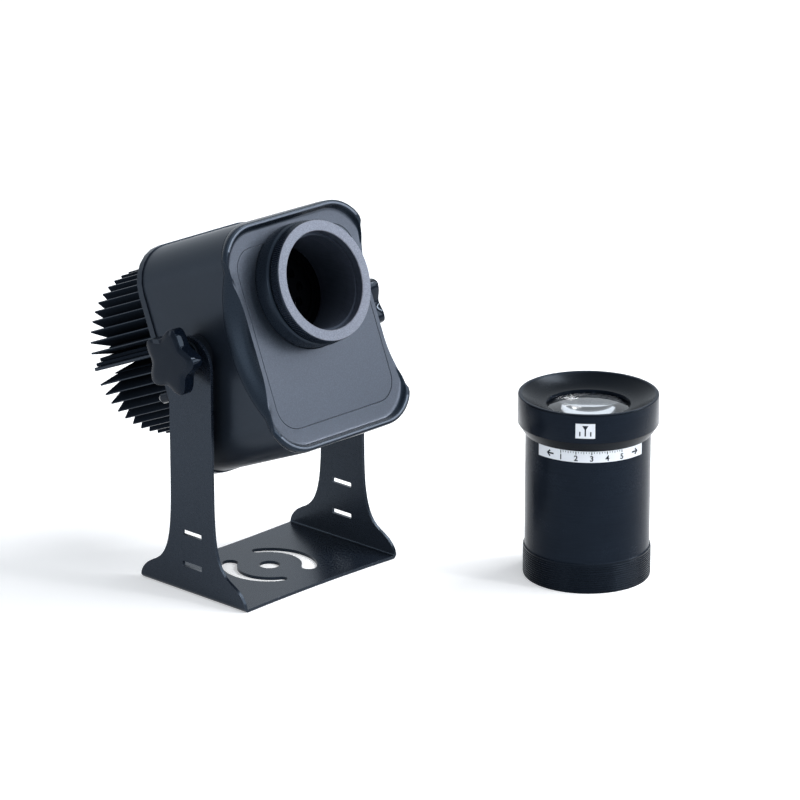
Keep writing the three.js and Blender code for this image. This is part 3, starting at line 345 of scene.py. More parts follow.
def maths(tree, operation, *values):
    node = tree.nodes.new("ShaderNodeMath")
    node.operation = operation
    feed(tree, node, dict(enumerate(values)))
    return node.outputs[0]


def scaled(tree, vector, factor):
    node = tree.nodes.new("ShaderNodeVectorMath")
    node.operation = "SCALE"
    feed(tree, node, {0: vector, "Scale": factor})
    return node.outputs[0]


def spread(tree, value, to_low, to_high, low=0.3, high=0.7):
    """Maps a value from one span, by default most of a noise's own, to another and limits it to that."""
    node = tree.nodes.new("ShaderNodeMapRange")
    feed(tree, node, {"Value": value, "From Min": low, "From Max": high, "To Min": to_low, "To Max": to_high})
    return node.outputs["Result"]


def blend(tree, factor, first, second):
    """Blends two colours, each red, green and blue."""
    node = tree.nodes.new("ShaderNodeMix")
    node.data_type = "RGBA"
    feed(tree, node, {"Factor": factor, 6: (*first, 1), 7: (*second, 1)})
    return node.outputs[2]


def coat_group():
    """Powder coat: fine grains that catch light, over soft clouds of tone."""
    group, given, end = node_group("Powder coat", (
        ("Position", "Vector", None), ("Colour", "Color", (0.05, 0.05, 0.06, 1)), ("Grain", "Float", 1000.0),
        ("Speck", "Float", 0.3), ("Rough", "Float", 0.5)), SURFACE)
    grain = noise(group, given["Position"], given["Grain"], 2.0, 0.6)
    fine = noise(group, given["Position"], maths(group, "MULTIPLY", given["Grain"], 2.7), 1.0)
    cloud = noise(group, given["Position"], 28.0, 3.0)
    lift = maths(group, "MULTIPLY", spread(group, grain, -1.0, 1.0, 0.42, 0.66), given["Speck"])
    tone = maths(group, "ADD", maths(group, "ADD", lift, 1.0), spread(group, cloud, -0.06, 0.06))
    feed(group, end, {
        "Colour": scaled(group, given["Colour"], tone),
        "Roughness": maths(group, "ADD", given["Rough"], spread(group, grain, 0.02, -0.02)),
        "Height": maths(group, "MULTIPLY_ADD", fine, 0.35, maths(group, "MULTIPLY", grain, 0.65)),
    })


def turning_group():
    """Turned and anodised metal: fine rings round the axis, with a soft cloud in the tone."""
    group, given, end = node_group("Turned metal", (
        ("Position", "Vector", None), ("Colour", "Color", (0.02, 0.02, 0.02, 1)), ("Rings", "Float", 2500.0),
        ("Rough", "Float", 0.3)), SURFACE)
    stretch = group.nodes.new("ShaderNodeVectorMath")
    stretch.operation = "MULTIPLY"
    feed(group, stretch, {0: given["Position"], 1: (0.02, 0.02, 1.0)})
    rings = noise(group, stretch.outputs[0], given["Rings"], 2.0)
    cloud = noise(group, given["Position"], 45.0, 3.0)
    speck = noise(group, given["Position"], 1600.0, 1.0)
    tone = maths(group, "ADD", spread(group, rings, 0.88, 1.12), spread(group, cloud, -0.08, 0.08))
    rough = maths(group, "ADD", given["Rough"], spread(group, cloud, -0.04, 0.05))
    feed(group, end, {
        "Colour": scaled(group, given["Colour"], tone),
        "Roughness": maths(group, "ADD", rough, spread(group, speck, -0.02, 0.02)),
        "Height": rings,
    })


def dust_group():
    """A thin scatter of dust and handling marks: a mask for tone and roughness."""
    group, given, end = node_group("Dust", (("Position", "Vector", None), ("Amount", "Float", 0.2)),
                                   (("Mask", "Float"),))
    motes = spread(group, noise(group, given["Position"], 900.0, 2.0), 0.0, 1.0, 0.6, 0.75)
    smears = spread(group, noise(group, given["Position"], 60.0, 3.0), 0.0, 0.6, 0.45, 0.75)
    marks = maths(group, "MAXIMUM", motes, smears)
    feed(group, end, {"Mask": maths(group, "MULTIPLY", marks, given["Amount"])})


def blank_material(name):
    """A new material's nodes, its shader and its pattern's place."""
    material = bpy.data.materials.new(name)
    material.use_nodes = True
    tree = material.node_tree
    place = tree.nodes.new("ShaderNodeTexCoord")
    place.location = (-1100, 0)
    return tree, tree.nodes["Principled BSDF"], place.outputs["Object"]


def use_group(tree, name, position, **values):
    node = tree.nodes.new("ShaderNodeGroup")
    node.node_tree = bpy.data.node_groups[name]
    node.location = (-500, 0)
    feed(tree, node, {"Position": position, **values})
    return node.outputs


def bump(tree, shader, height, strength, distance=0.1 * MM):
    node = tree.nodes.new("ShaderNodeBump")
    node.location = (-200, -300)
    feed(tree, node, {"Strength": strength, "Distance": distance, "Height": height})
    feed(tree, shader, {"Normal": node.outputs["Normal"]})


def surface_material(name, group, tint, relief, distance, shine, gleam=COOL, metallic=0.0, **values):
    """A material whose colour, roughness and relief come from a group."""
    tree, shader, position = blank_material(name)
    surface = use_group(tree, group, position, Colour=(*tint, 1), **values)
    feed(tree, shader, {"Base Color": surface["Colour"], "Roughness": surface["Roughness"],
                        "Metallic": metallic, "Specular IOR Level": shine, "Specular Tint": gleam})
    bump(tree, shader, surface["Height"], relief, distance)


def gloss_material(name, tint, rough, dust):
    """Moulded plastic: a soft ripple from the mould, and dust in the tone and the gloss."""
    tree, shader, position = blank_material(name)
    marks = use_group(tree, "Dust", position, Amount=dust)["Mask"]
    feed(tree, shader, {"Base Color": blend(tree, marks, tint, (0.16, 0.17, 0.18)),
                        "Roughness": maths(tree, "MULTIPLY_ADD", marks, 0.5, rough),
                        "Specular IOR Level": 0.16, "Specular Tint": COOL})
    bump(tree, shader, noise(tree, position, 1500.0, 1.0), 0.05)


def glass_material(name, tint, ior, dust):
    tree, shader, position = blank_material(name)
    marks = use_group(tree, "Dust", position, Amount=dust)["Mask"]
    feed(tree, shader, {"Base Color": blend(tree, marks, tint, (0.75, 0.76, 0.78)),
                        "Roughness": maths(tree, "MULTIPLY_ADD", marks, 0.06, 0.004),
                        "IOR": ior, "Transmission Weight": 1.0})


def stock_material(name, tint, second, scale, rough, relief, shine):
    """Matt stock: two near tones in a fine noise, with the same noise in the roughness and relief."""
    tree, shader, position = blank_material(name)
    pattern = noise(tree, position, scale, 3.0)
    feed(tree, shader, {"Base Color": blend(tree, pattern, tint, second),
                        "Roughness": spread(tree, pattern, rough - 0.05, rough + 0.05),
                        "Specular IOR Level": shine, "Specular Tint": COOL})
    bump(tree, shader, pattern, relief)


def make_finishes(tones):
    coat_group()
    turning_group()
    dust_group()
    for name, tone, grain, speck, rough, relief, shine, gleam in COATS:
        surface_material(name, "Powder coat", getattr(tones, tone), relief, 0.2 * MM, shine, gleam,
                         Grain=1 / (tones.grain * grain), Speck=speck, Rough=rough)
    for name, tone, strength, rings, rough, relief, shine, metallic in TURNINGS:
        surface_material(name, "Turned metal", [c * strength for c in getattr(tones, tone)], relief, 0.1 * MM,
                         shine, metallic=metallic, Rings=rings, Rough=rough)
    for stock in STOCKS:
        stock_material(*stock)
    for name, tone, lift, *look in (("Label stock", tones.label, 1.06, 300.0, 0.42, 0.05, 0.5),
                                    ("Label ink", tones.ink, 1.6, 800.0, 0.45, 0.05, 0.2)):
        stock_material(name, tone, [min(1.0, c * lift) for c in tone], *look)
    gloss_material("Knob black", tones.knob, 0.05, 0.008)
    glass_material("Coated glass", (0.93, 0.95, 0.98), 1.62, 0.05)


# ---------------------------------------------------------------- shapes

def in_scene(name, data):
    holder = bpy.data.objects.new(name, data)
    bpy.context.scene.collection.objects.link(holder)
    return holder


def as_mesh(name, bm):
    """A bmesh made a mesh, and freed."""
    mesh = bpy.data.meshes.new(name)
    bm.to_mesh(mesh)
    bm.free()
    return mesh


def read_mesh(*meshes):
    bm = bmesh.new()
    for mesh in meshes:
        bm.from_mesh(mesh)
    return bm


def joined(shapes):
    """One shape from several, each brought to its own place."""
    meshes = []
    for bm, place in shapes:
        bm.transform(place)
        meshes.append(as_mesh("part", bm))
    whole = read_mesh(*meshes)
    for mesh in meshes:
        bpy.data.meshes.remove(mesh)
    return whole


def merge(bm):
    bmesh.ops.remove_doubles(bm, verts=bm.verts, dist=WELD)
    bmesh.ops.recalc_face_normals(bm, faces=bm.faces)


def chain(bm, points, closed=True):
    verts = [bm.verts.new(p) for p in points]
    pairs = list(zip(verts, verts[1:] + verts[:1] if closed else verts[1:]))
    return verts, [bm.edges.new(pair) for pair in pairs]


def turned(outline, steps=128, closed=True):
    """A body of revolution about Z from (radius, height) points; an open outline ends on the axis."""
    bm = bmesh.new()
    verts, edges = chain(bm, [(r, 0, h) for r, h in outline], closed)
    bmesh.ops.spin(bm, geom=verts + edges, cent=(0, 0, 0), axis=(0, 0, 1), angle=2 * math.pi,
                   steps=steps, use_merge=True)
    merge(bm)
    return bm


def extruded(points, way):
    """A straight body: a flat face of points, drawn out along a vector."""
    bm = bmesh.new()
    _, edges = chain(bm, points)
    face = bmesh.ops.contextual_create(bm, geom=edges)["faces"]
    moved = bmesh.ops.extrude_face_region(bm, geom=face)["geom"]
    bmesh.ops.translate(bm, verts=[g for g in moved if isinstance(g, bmesh.types.BMVert)], vec=way)
    merge(bm)
    return bm


def prism(outline, start, stop):
    """A straight body from an outline in X and Y, between two heights."""
    return extruded([(x, y, start) for x, y in outline], (0, 0, stop - start))


def rod(radius, length, segments, place=Matrix.Identity(4)):
    bm = bmesh.new()
    bmesh.ops.create_cone(bm, cap_ends=True, segments=segments, radius1=radius, radius2=radius, depth=length,
                          matrix=place)
    return bm


def skin(rings, closed=False):
    """A skin through rings of equal point counts, each extruded from the one before; open ends are capped."""
    bm = bmesh.new()
    order, edges = chain(bm, rings[0])
    first = edges
    for ring in rings[1:] + (rings[:1] if closed else []):
        made = bmesh.ops.extrude_edge_only(bm, edges=edges)["geom"]
        fresh = {tuple(round(c, 7) for c in g.co): g for g in made if isinstance(g, bmesh.types.BMVert)}
        order = [fresh[tuple(round(c, 7) for c in v.co)] for v in order]
        new = set(order)
        edges = [g for g in made if isinstance(g, bmesh.types.BMEdge) and new.issuperset(g.verts)]
        for vert, point in zip(order, ring):
            vert.co = point
    if not closed:
        bmesh.ops.contextual_create(bm, geom=first)
        bmesh.ops.contextual_create(bm, geom=edges)
    merge(bm)
    return bm


def arc(x, y, radius, start, stop, steps=12):
    turns = [start + (stop - start) * i / steps for i in range(steps + 1)]
    return [(x + radius * math.cos(turn), y + radius * math.sin(turn)) for turn in turns]


def circle(radius, steps, y=0.0):
    """Points round a circle, the first at its right."""
    return arc(0, y, radius, 0, 2 * math.pi * (steps - 1) / steps, steps - 1)


def rounded_outline(width, height, corner, rise, sides=72, steps=16):
    """Points round a rectangle with round corners, counter-clockwise from the right side, as (x, z)."""
    across, up = width / 2 - corner, height / 2 - corner
    arcs = [arc(sx * across, sz * up + rise, corner, start * QUARTER, (start + 1) * QUARTER, steps)
            for start, (sx, sz) in enumerate(((1, 1), (-1, 1), (-1, -1), (1, -1)))]
    points = []
    for bend, following, divisions in zip(arcs, arcs[1:] + arcs[:1], (2, sides, 2, sides)):
        (x0, z0), (x1, z1) = bend[-1], following[0]
        points += bend
        points += [(x0 + (x1 - x0) * part, z0 + (z1 - z0) * part)
                   for part in [i / divisions for i in range(1, divisions)]]
    return points


def standing(outline, forward):
    """A ring of the head from an (x, z) outline, at one forward place or at one for each point."""
    places = forward if isinstance(forward, list) else [forward] * len(outline)
    return [(x, -at, z) for (x, z), at in zip(outline, places)]


def curve_through(points, steps=5):
    """A smooth line through points, each span cut into steps."""
    line = []
    ends = [points[0], *points, points[-1]]
    for span in zip(ends, ends[1:], ends[2:], ends[3:]):
        for t in [i / steps for i in range(steps)]:
            line.append(tuple(0.5 * (2 * q + (r - p) * t + (2 * p - 5 * q + 4 * r - w) * t * t
                                     + (3 * q - p - 3 * r + w) * t ** 3) for p, q, r, w in zip(*span)))
    return line + [points[-1]]


def smooth(value):
    value = max(0.0, min(1.0, value))
    return value * value * (3 - 2 * value)


def on_head(across=0.0, forward=0.0, up=0.0):
    """Places a piece drawn upright about Z so that its height runs forward from a point of the head."""
    return HEAD @ Matrix.Translation((across, -forward, up)) @ FORWARD


def finish_piece(name, bm, place, body, finish, node=None, crease=CREASE, bevel=0.0, segments=2,
                 limit=40, others=(), where=None, rim=None):
    """Makes a piece of a shape drawn in its own axes: puts it in place, gives it its finish and its body.
    Other finishes go on the faces that where picks in the shape's axes, by number; rim, a light tone that
    paints a highlight, goes on the eased edges."""
    if where:
        bm.normal_update()
        for face in bm.faces:
            face.material_index = where(face.calc_center_median(), face.normal)
    bm.transform(place)
    mesh = as_mesh(name, bm)
    for item in (finish, *others, rim):
        if item:
            mesh.materials.append(bpy.data.materials[item])
    mesh.shade_smooth()
    mesh.set_sharp_from_angle(angle=math.radians(crease))
    piece = in_scene(name, mesh)
    if bevel:
        ease = piece.modifiers.new("Eased edges", "BEVEL")
        ease.width, ease.segments, ease.harden_normals = bevel, segments, True
        ease.limit_method, ease.angle_limit = "ANGLE", math.radians(limit)
        # The bevel's faces take the rim finish, a painted highlight
        if rim:
            ease.material = 1 + len(others)
    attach(piece, body)
    if node:
        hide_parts(node)
    return piece


def evaluated_mesh(piece):
    bpy.context.view_layer.update()
    return bpy.data.meshes.new_from_object(piece.evaluated_get(bpy.context.evaluated_depsgraph_get()))


def carve(piece, bm, place, operation="DIFFERENCE"):
    """Cuts a piece with a tool's shape, or to it, and keeps the result as the piece's own mesh."""
    bm.transform(place)
    tool = in_scene("tool", as_mesh("tool", bm))
    for modifier in piece.modifiers:
        modifier.show_viewport = False
    cutter = piece.modifiers.new("Cut", "BOOLEAN")
    cutter.operation, cutter.solver, cutter.object = operation, "EXACT", tool
    result = evaluated_mesh(piece)
    piece.modifiers.remove(cutter)
    for modifier in piece.modifiers:
        modifier.show_viewport = True
    piece.data = result
    result.shade_smooth()
    result.set_sharp_from_angle(angle=math.radians(CREASE))
    bpy.data.objects.remove(tool)


def dress_node(node, finish, body, bevel=0.3 * MM, segments=2, limit=35):
    """A copy of a CAD solid with merged faces and eased edges, which stands for it."""
    bm = read_mesh(frame["nodes"][node].data)
    bmesh.ops.remove_doubles(bm, verts=bm.verts, dist=WELD)
    bmesh.ops.dissolve_limit(bm, angle_limit=math.radians(0.5), verts=bm.verts, edges=bm.edges)
    finish_piece("dressed_" + node, bm, Matrix.Identity(4), body, finish, node=node,
                 bevel=bevel, segments=segments, limit=limit)


# ---------------------------------------------------------------- yoke and pivots

# Half widths and heights of the arm's flare into the base, in millimetres
FLARE = ((45.2, 1.0), (45.3, 2.6), (44.5, 5.6), (42.4, 8.8), (39.2, 11.8), (35.4, 14.2), (31.3, 16.4),
         (27.5, 19.3), (24.4, 23.3), (22.1, 28.2), (20.4, 34.2), (19.2, 41.2), (18.5, 49.5), (18.1, 59.0),
         (18.0, 70.0))
# Half a tool's depth where it cuts through the base plate
THROUGH = 10 * MM


def arc_slot(yoke, turn, steps=36):
    """Outline of an arc slot that narrows from its wide end, both ends round."""
    def cap(width, at, start):
        middle, towards = yoke.arc_radius - width / 2, turn + at
        return arc(middle * math.cos(towards), middle * math.sin(towards), width / 2,
                   towards + start, towards + start + math.pi, 16)[1:-1]
    outer, inner = [], []
    for part in [i / steps for i in range(steps + 1)]:
        towards = turn + yoke.arc_from + (yoke.arc_to - yoke.arc_from) * part
        reach = yoke.arc_radius - yoke.arc_wide - (yoke.arc_narrow - yoke.arc_wide) * part
        outer.append((yoke.arc_radius * math.cos(towards), yoke.arc_radius * math.sin(towards)))
        inner.append((reach * math.cos(towards), reach * math.sin(towards)))
    return [*outer, *cap(yoke.arc_narrow, yoke.arc_to, 0), *reversed(inner),
            *cap(yoke.arc_wide, yoke.arc_from, math.pi)]


def build_yoke(context):
    yoke = sizes(context, "yoke")
    half, depth, thick, bend = yoke.width / 2, yoke.depth / 2, yoke.plate, yoke.bend
    down, right = 3 * QUARTER, 4 * QUARTER
    section = [(-half, yoke.top), *arc(-half + bend, bend, bend, math.pi, down),
               *arc(half - bend, bend, bend, down, right), (half, yoke.top), (half - thick, yoke.top),
               *arc(half - bend, bend, bend - thick, right, down),
               *arc(-half + bend, bend, bend - thick, down, math.pi), (-half + thick, yoke.top)]
    # The yoke's eased edges take the light rim tone, a painted highlight
    body = finish_piece("yoke_bent_plate", prism(section, -depth, depth), FOOT @ FORWARD, "yoke", "Yoke coat",
                        node="yoke", bevel=0.5 * MM, segments=3, rim="Rim coat")
    across = FOOT @ Matrix.Rotation(QUARTER, 4, "Z") @ FORWARD
    flank = [(depth, -MM)] + curve_through([(y * MM, z * MM) for y, z in FLARE])
    side = flank + arc(0, yoke.top - yoke.arm / 2, yoke.arm / 2, 0, math.pi, 48)
    side += [(-y, z) for y, z in reversed(flank)]
    carve(body, prism(side, -yoke.width, yoke.width), across, "INTERSECT")
    edge = [(half * 1.01 * t, -depth + yoke.waist * (1 - t ** 2)) for t in [i / 24 - 1 for i in range(49)]]
    waist = prism(edge + [(-x, -y) for x, y in edge], -THROUGH, yoke.top + THROUGH)
    carve(body, waist, FOOT, "INTERSECT")

    for hole in (circle(yoke.hole, 64), arc_slot(yoke, 0), arc_slot(yoke, math.pi)):
        carve(body, prism(hole, -THROUGH, THROUGH), FOOT)
    y, r = yoke.slot_length / 2, 0.4 * MM
    for at in (yoke.slot_low, yoke.slot_high):
        low, high = at - yoke.slot_width / 2, at + yoke.slot_width / 2
        slot = [*arc(y - r, low + r, r, -QUARTER, 0, 3), *arc(y - r, high - r, r, 0, QUARTER, 3),
                *arc(-y + r, high - r, r, QUARTER, math.pi, 3), *arc(-y + r, low + r, r, math.pi, down, 3)]
        carve(body, prism(slot, -yoke.width, yoke.width), across)
    carve(body, prism(circle(yoke.stud, 48, PIVOT.z), -yoke.width, yoke.width), across)
    for side in ("left", "right"):
        dress_node("spacer_" + side, "Matt black plastic", "yoke", 0.5 * MM, 3)
        dress_node("washer_" + side, "Matt black plastic", "yoke", 0.2 * MM)
        dress_node("stud_" + side, "Zinc plate", "knob_" + side)
        dress_node("pivot_insert_" + side, "Zinc plate", "head")


# Under 1, a knob's valleys are wider and rounder than its lobes
VALLEY = 0.85


def star_ring(knob, inset, at, twist, steps=180):
    """One outline of the lobed head, drawn in by an inset along its own normals, at a height."""
    def point(turn):
        swing = (1 - math.cos(knob.lobes * turn)) / 2
        radius = knob.radius - knob.valley * swing ** VALLEY
        around = turn + knob.turn + twist
        return Vector((radius * math.cos(around), radius * math.sin(around), 0))
    ring = []
    for turn in [2 * math.pi * i / steps for i in range(steps)]:
        along = (point(turn + 0.005) - point(turn - 0.005)).normalized()
        place = point(turn) - Vector((along.y, -along.x, 0)) * inset
        ring.append((place.x, place.y, at))
    return ring


# The knob's face from its rim to its crown: parts of the rim's outline kept, and depths below the front
CROWN = ((0.86, 0.22 * MM), (0.72, 0.09 * MM), (0.60, 0.03 * MM), (0.52, 0.0))


def build_knobs(context):
    knob = sizes(context, "knob")
    back, front, edge = knob.start, knob.start + knob.thickness, knob.edge
    ease = 0.4 * edge
    shoulder, crown = front - 1.4 * MM, 0.56 * 0.3 * knob.radius
    rounding = [math.radians(15 * i) for i in range(7)]
    flange = ((knob.bore, knob.hub_start), (knob.hub - 0.4 * MM, knob.hub_start),
              (knob.hub, knob.hub_start + 0.4 * MM), (knob.hub, back - 1.2 * MM),
              (knob.hub + 0.6 * MM, back - 0.3 * MM), (knob.hub + 1.2 * MM, back + 0.1 * MM),
              (knob.bore, back + 0.1 * MM))
    for side, turn, twist in (("left", math.pi, knob.near_turn), ("right", 0.0, knob.far_turn)):
        place = (Matrix.Translation(PIVOT) @ Matrix.Rotation(turn, 4, "Z") @ Matrix.Rotation(QUARTER, 4, "Y")
                 @ Matrix.Rotation(QUARTER, 4, "Z"))
        rings = [star_ring(knob, edge * (1 - math.sin(a)), back + edge * (1 - math.cos(a)), twist)
                 for a in rounding]
        rings += [star_ring(knob, ease * (1 - math.cos(a)), shoulder + ease * math.sin(a), twist)
                  for a in rounding]
        for part, below in CROWN:
            rim = star_ring(knob, ease, front - below, twist)
            kept = [part + (1 - part) * crown / math.hypot(x, y) for x, y, _ in rim]
            rings.append([(x * keep, y * keep, z) for (x, y, z), keep in zip(rim, kept)])
        for name, shape in (("star_knob_", skin(rings)), ("knob_hub_", turned(flange, 96))):
            finish_piece(name + side, shape, place, "knob_" + side, "Knob black",
                         node="knob_" + side, crease=50)


# ---------------------------------------------------------------- housing

def scoop_reach(bezel, housing, forward, up):
    """How far out the bezel may stand at a point of its side, where the scoop takes the corner away."""
    centre = bezel.scoop_start + bezel.scoop_radius
    side, floor = housing.width / 2, housing.width / 2 - bezel.scoop_depth
    radius = math.hypot(forward - centre, up + housing.drop)
    inner = centre - bezel.face + bezel.gap
    if radius <= inner:
        return floor
    if radius >= bezel.scoop_radius:
        return side + (radius - bezel.scoop_radius) * 0.5
    # The scoop leaves the side softly, dips, and runs level up to the face's ridge
    part = (radius - inner) / (bezel.scoop_radius - inner)
    return floor + bezel.scoop_depth * smooth((part - 0.12) / 0.86)


def seam_place(bezel, housing, up, gap):
    """Forward place of the seam between shell and bezel at a height of the side."""
    centre = bezel.scoop_start + bezel.scoop_radius
    radius = bezel.scoop_radius - gap
    return min(housing.front + gap, centre - math.sqrt(radius ** 2 - (up + housing.drop) ** 2))


def housing_outline(housing, out=0.0, drop=0.0, corner=None):
    return rounded_outline(housing.width + 2 * out, housing.height - 2 * drop,
                           housing.corner if corner is None else corner, -housing.drop)


def inset_outline(housing, inset):
    return housing_outline(housing, -inset, inset, housing.corner - inset)


def build_screw(housing, number):
    """A rear screw: a domed head with a hexagon socket, and its shank."""
    node = "rear_screw_%d" % number
    low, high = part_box(node)
    middle = HEAD.inverted() @ ((low + high) / 2)
    middle.y = housing.plate_back
    place = HEAD @ Matrix.Translation(middle) @ FORWARD.inverted()
    reach, height, rim = housing.screw_radius, housing.screw_height, 0.3 * MM
    shank, end, step = 1.5 * MM, -16 * MM, 1.1 * MM
    rise = [(reach * math.cos(a), rim + (height - rim) * math.sin(a))
            for a in map(math.radians, range(10, 81, 10))]
    shapes = (("screw_head_", [(0, rim), (reach, rim), *rise, (0, height)], 48),
              ("screw_shank_", [(0, end), (shank - 0.3 * MM, end), (shank, end + 0.5 * MM), (shank, step),
                                (0, step)], 32))
    for name, outline, steps in shapes:
        piece = finish_piece(name + str(number), turned(outline, steps, closed=False), place, "head",
                             "Zinc plate", node=node, crease=50)
        if name == "screw_head_":
            carve(piece, rod(1.4 * MM, 3 * MM, 6, Matrix.Translation((0, 0, height + 0.2 * MM))), place)


def build_housing(context):
    housing, bezel = sizes(context, "housing"), sizes(context, "bezel")
    outer, inner = housing_outline(housing), inset_outline(housing, housing.wall)
    fronts = [seam_place(bezel, housing, z, 0.0) for _, z in outer]
    rings = [standing(outer, -housing.back), standing(outer, fronts), standing(inner, fronts),
             standing(inner, -housing.back)]
    shell = finish_piece("shell_skin", skin(rings, closed=True), HEAD, "head", "Housing coat",
                         node="housing_shell", bevel=0.4 * MM, segments=3)
    carve(shell, rod(housing.pivot_hole, 200 * MM, 64, Matrix.Rotation(QUARTER, 4, "Y")), HEAD)
    # The seal is a band that lies nearly flush between shell and rear plate
    hair, flush = 0.05 * MM, housing_outline(housing, -0.08 * MM, 0.08 * MM)
    inside = housing_outline(housing, -3 * MM, 3 * MM, 22 * MM)
    front, back = -housing.back - hair, -housing.plate_front + hair
    band = skin([standing(flush, front), standing(flush, back), standing(inside, back),
                 standing(inside, front)], closed=True)
    finish_piece("seal_band", band, HEAD, "head", "Seal rubber", node="rear_seal",
                 bevel=0.1 * MM)
    dress_node("rear_plate", "Housing coat", "head", 0.6 * MM, 3)
    for number in range(1, 5):
        build_screw(housing, number)


# ---------------------------------------------------------------- bezel

# Parts of the way from the seam to the lip's foot
FLANK = (0.06, 0.12, 0.2, 0.3, 0.4, 0.5, 0.6, 0.7, 0.8, 0.88, 0.95, 1.0)
# The lip in section, over its top and down to the face, in millimetres: forward of the lip's top or of the
# face, out from the flare, in from the housing's top and bottom, and in from the scoop's surface
LIP = ((-2.6, -0.24, 0.4, 0.05), (-1.4, 0, 0.6, 0.1), (-0.77, -0.12, 0.86, 0.2), (-0.35, -0.5, 1.2, 0.3),
       (0, -1.4, 2.0, 0.45), (0, -2.9, 2.9, 0.6), (-0.3, -3.4, 3.4, 0.85), (-1.3, -3.8, 3.8, 1.1))
LIP_FOOT = ((1.1, -4.3, 4.3, 1.4), (0.3, -4.9, 4.9, 1.7), (0.05, -5.6, 5.6, 1.9))


def build_bezel(context):
    housing, bezel, nose = (sizes(context, name) for name in ("housing", "bezel", "nose"))
    flare, side = bezel.flare, housing.width / 2
    base = housing_outline(housing)
    backs = [seam_place(bezel, housing, z, bezel.gap) for _, z in base]
    # The lip fades out where the scoop has taken the corner away
    fades = [smooth((side + 3 * MM - scoop_reach(bezel, housing, bezel.lip - 0.8 * MM, z)) / (6 * MM))
             if abs(x) > side - housing.corner else 0.0 for x, z in base]

    def ring(forward, out, drop, draw=0.0, rising=1.0):
        points = []
        outline = housing_outline(housing, out, drop, housing.corner + out / 2)
        for (x, z), back, fade in zip(outline, backs, fades):
            at = back + (forward - back) * rising
            if at > bezel.face:
                at = bezel.face + (at - bezel.face) * (1 - fade)
            reach = scoop_reach(bezel, housing, min(at, bezel.face), z) - draw
            points.append((max(-reach, min(reach, x)), -at, z))
        return points

    rings = [ring(bezel.face - 0.1 * MM, 0, 0, rising=0.0)]
    rings += [ring(bezel.face - 0.15 * MM, 0.75 * flare * part, 0.3 * MM * part, rising=part)
              for part in FLANK]
    for start, profile in ((bezel.lip, LIP), (bezel.face, LIP_FOOT)):
        rings += [ring(start + at * MM, flare + out * MM, drop * MM, draw * MM)
                  for at, out, drop, draw in profile]
    rings.append(ring(bezel.face, flare - bezel.face_inset, bezel.face_inset, 2 * MM))

    def cover_outline(inset, *sides):
        return rounded_outline(bezel.cover_width - 2 * inset, bezel.cover_height - 2 * inset,
                               bezel.cover_corner - inset, -housing.drop, *sides)
    cover, ledge = cover_outline(0), cover_outline(3 * MM)
    under = bezel.face - bezel.cover_thickness
    floor, rear = under - bezel.gap, bezel.face - 4 * MM
    hollow = inset_outline(housing, housing.wall + bezel.gap + 3.2 * MM)
    rings += [standing(*ring) for ring in ((cover, bezel.face), (cover, floor), (ledge, floor), (ledge, rear),
                                           (hollow, rear), (hollow, backs))]

    def coat(at, normal):
        # The lip's crest takes the light edge tone, a painted highlight; the flat face takes the grained coat
        if -at.y > bezel.lip - 0.1 * MM and -normal.y > 0.97:
            return 2
        return int(-at.y < bezel.face + 0.5 * MM and -normal.y > 0.9)
    finish_piece("bezel_skin", skin(rings, closed=True), HEAD, "head", "Cheek coat",
                 node="front_bezel", crease=38, others=("Bezel coat", "Edge coat"), where=coat)

    plate = extruded(standing(cover_outline(bezel.gap, 2), under), (0, under - bezel.face, 0))
    plate = finish_piece("cover_slab", plate, HEAD, "head", "Bezel coat",
                         node="cover_plate", bevel=0.2 * MM)
    carve(plate, rod(bezel.collar + bezel.gap, 20 * MM, 128), on_head(0, bezel.face, nose.axis))

    back, ease, socket, mouth = bezel.face - 2 * MM, 0.2 * MM, 33.7 * MM, 50 * MM
    outline = [(nose.seat, back), (bezel.collar, back), (bezel.collar, nose.collar_step - 2 * ease),
               (bezel.collar - ease, nose.collar_step), (bezel.collar_neck + ease, nose.collar_front - ease),
               (bezel.collar_neck, nose.collar_front), (socket, nose.collar_front), (socket, mouth),
               (nose.seat, mouth)]
    finish_piece("nose_collar", turned(outline, 160), on_head(0, 0, nose.axis), "head", "Cheek coat",
                 node="front_bezel", crease=30)


# ---------------------------------------------------------------- nose and gobo

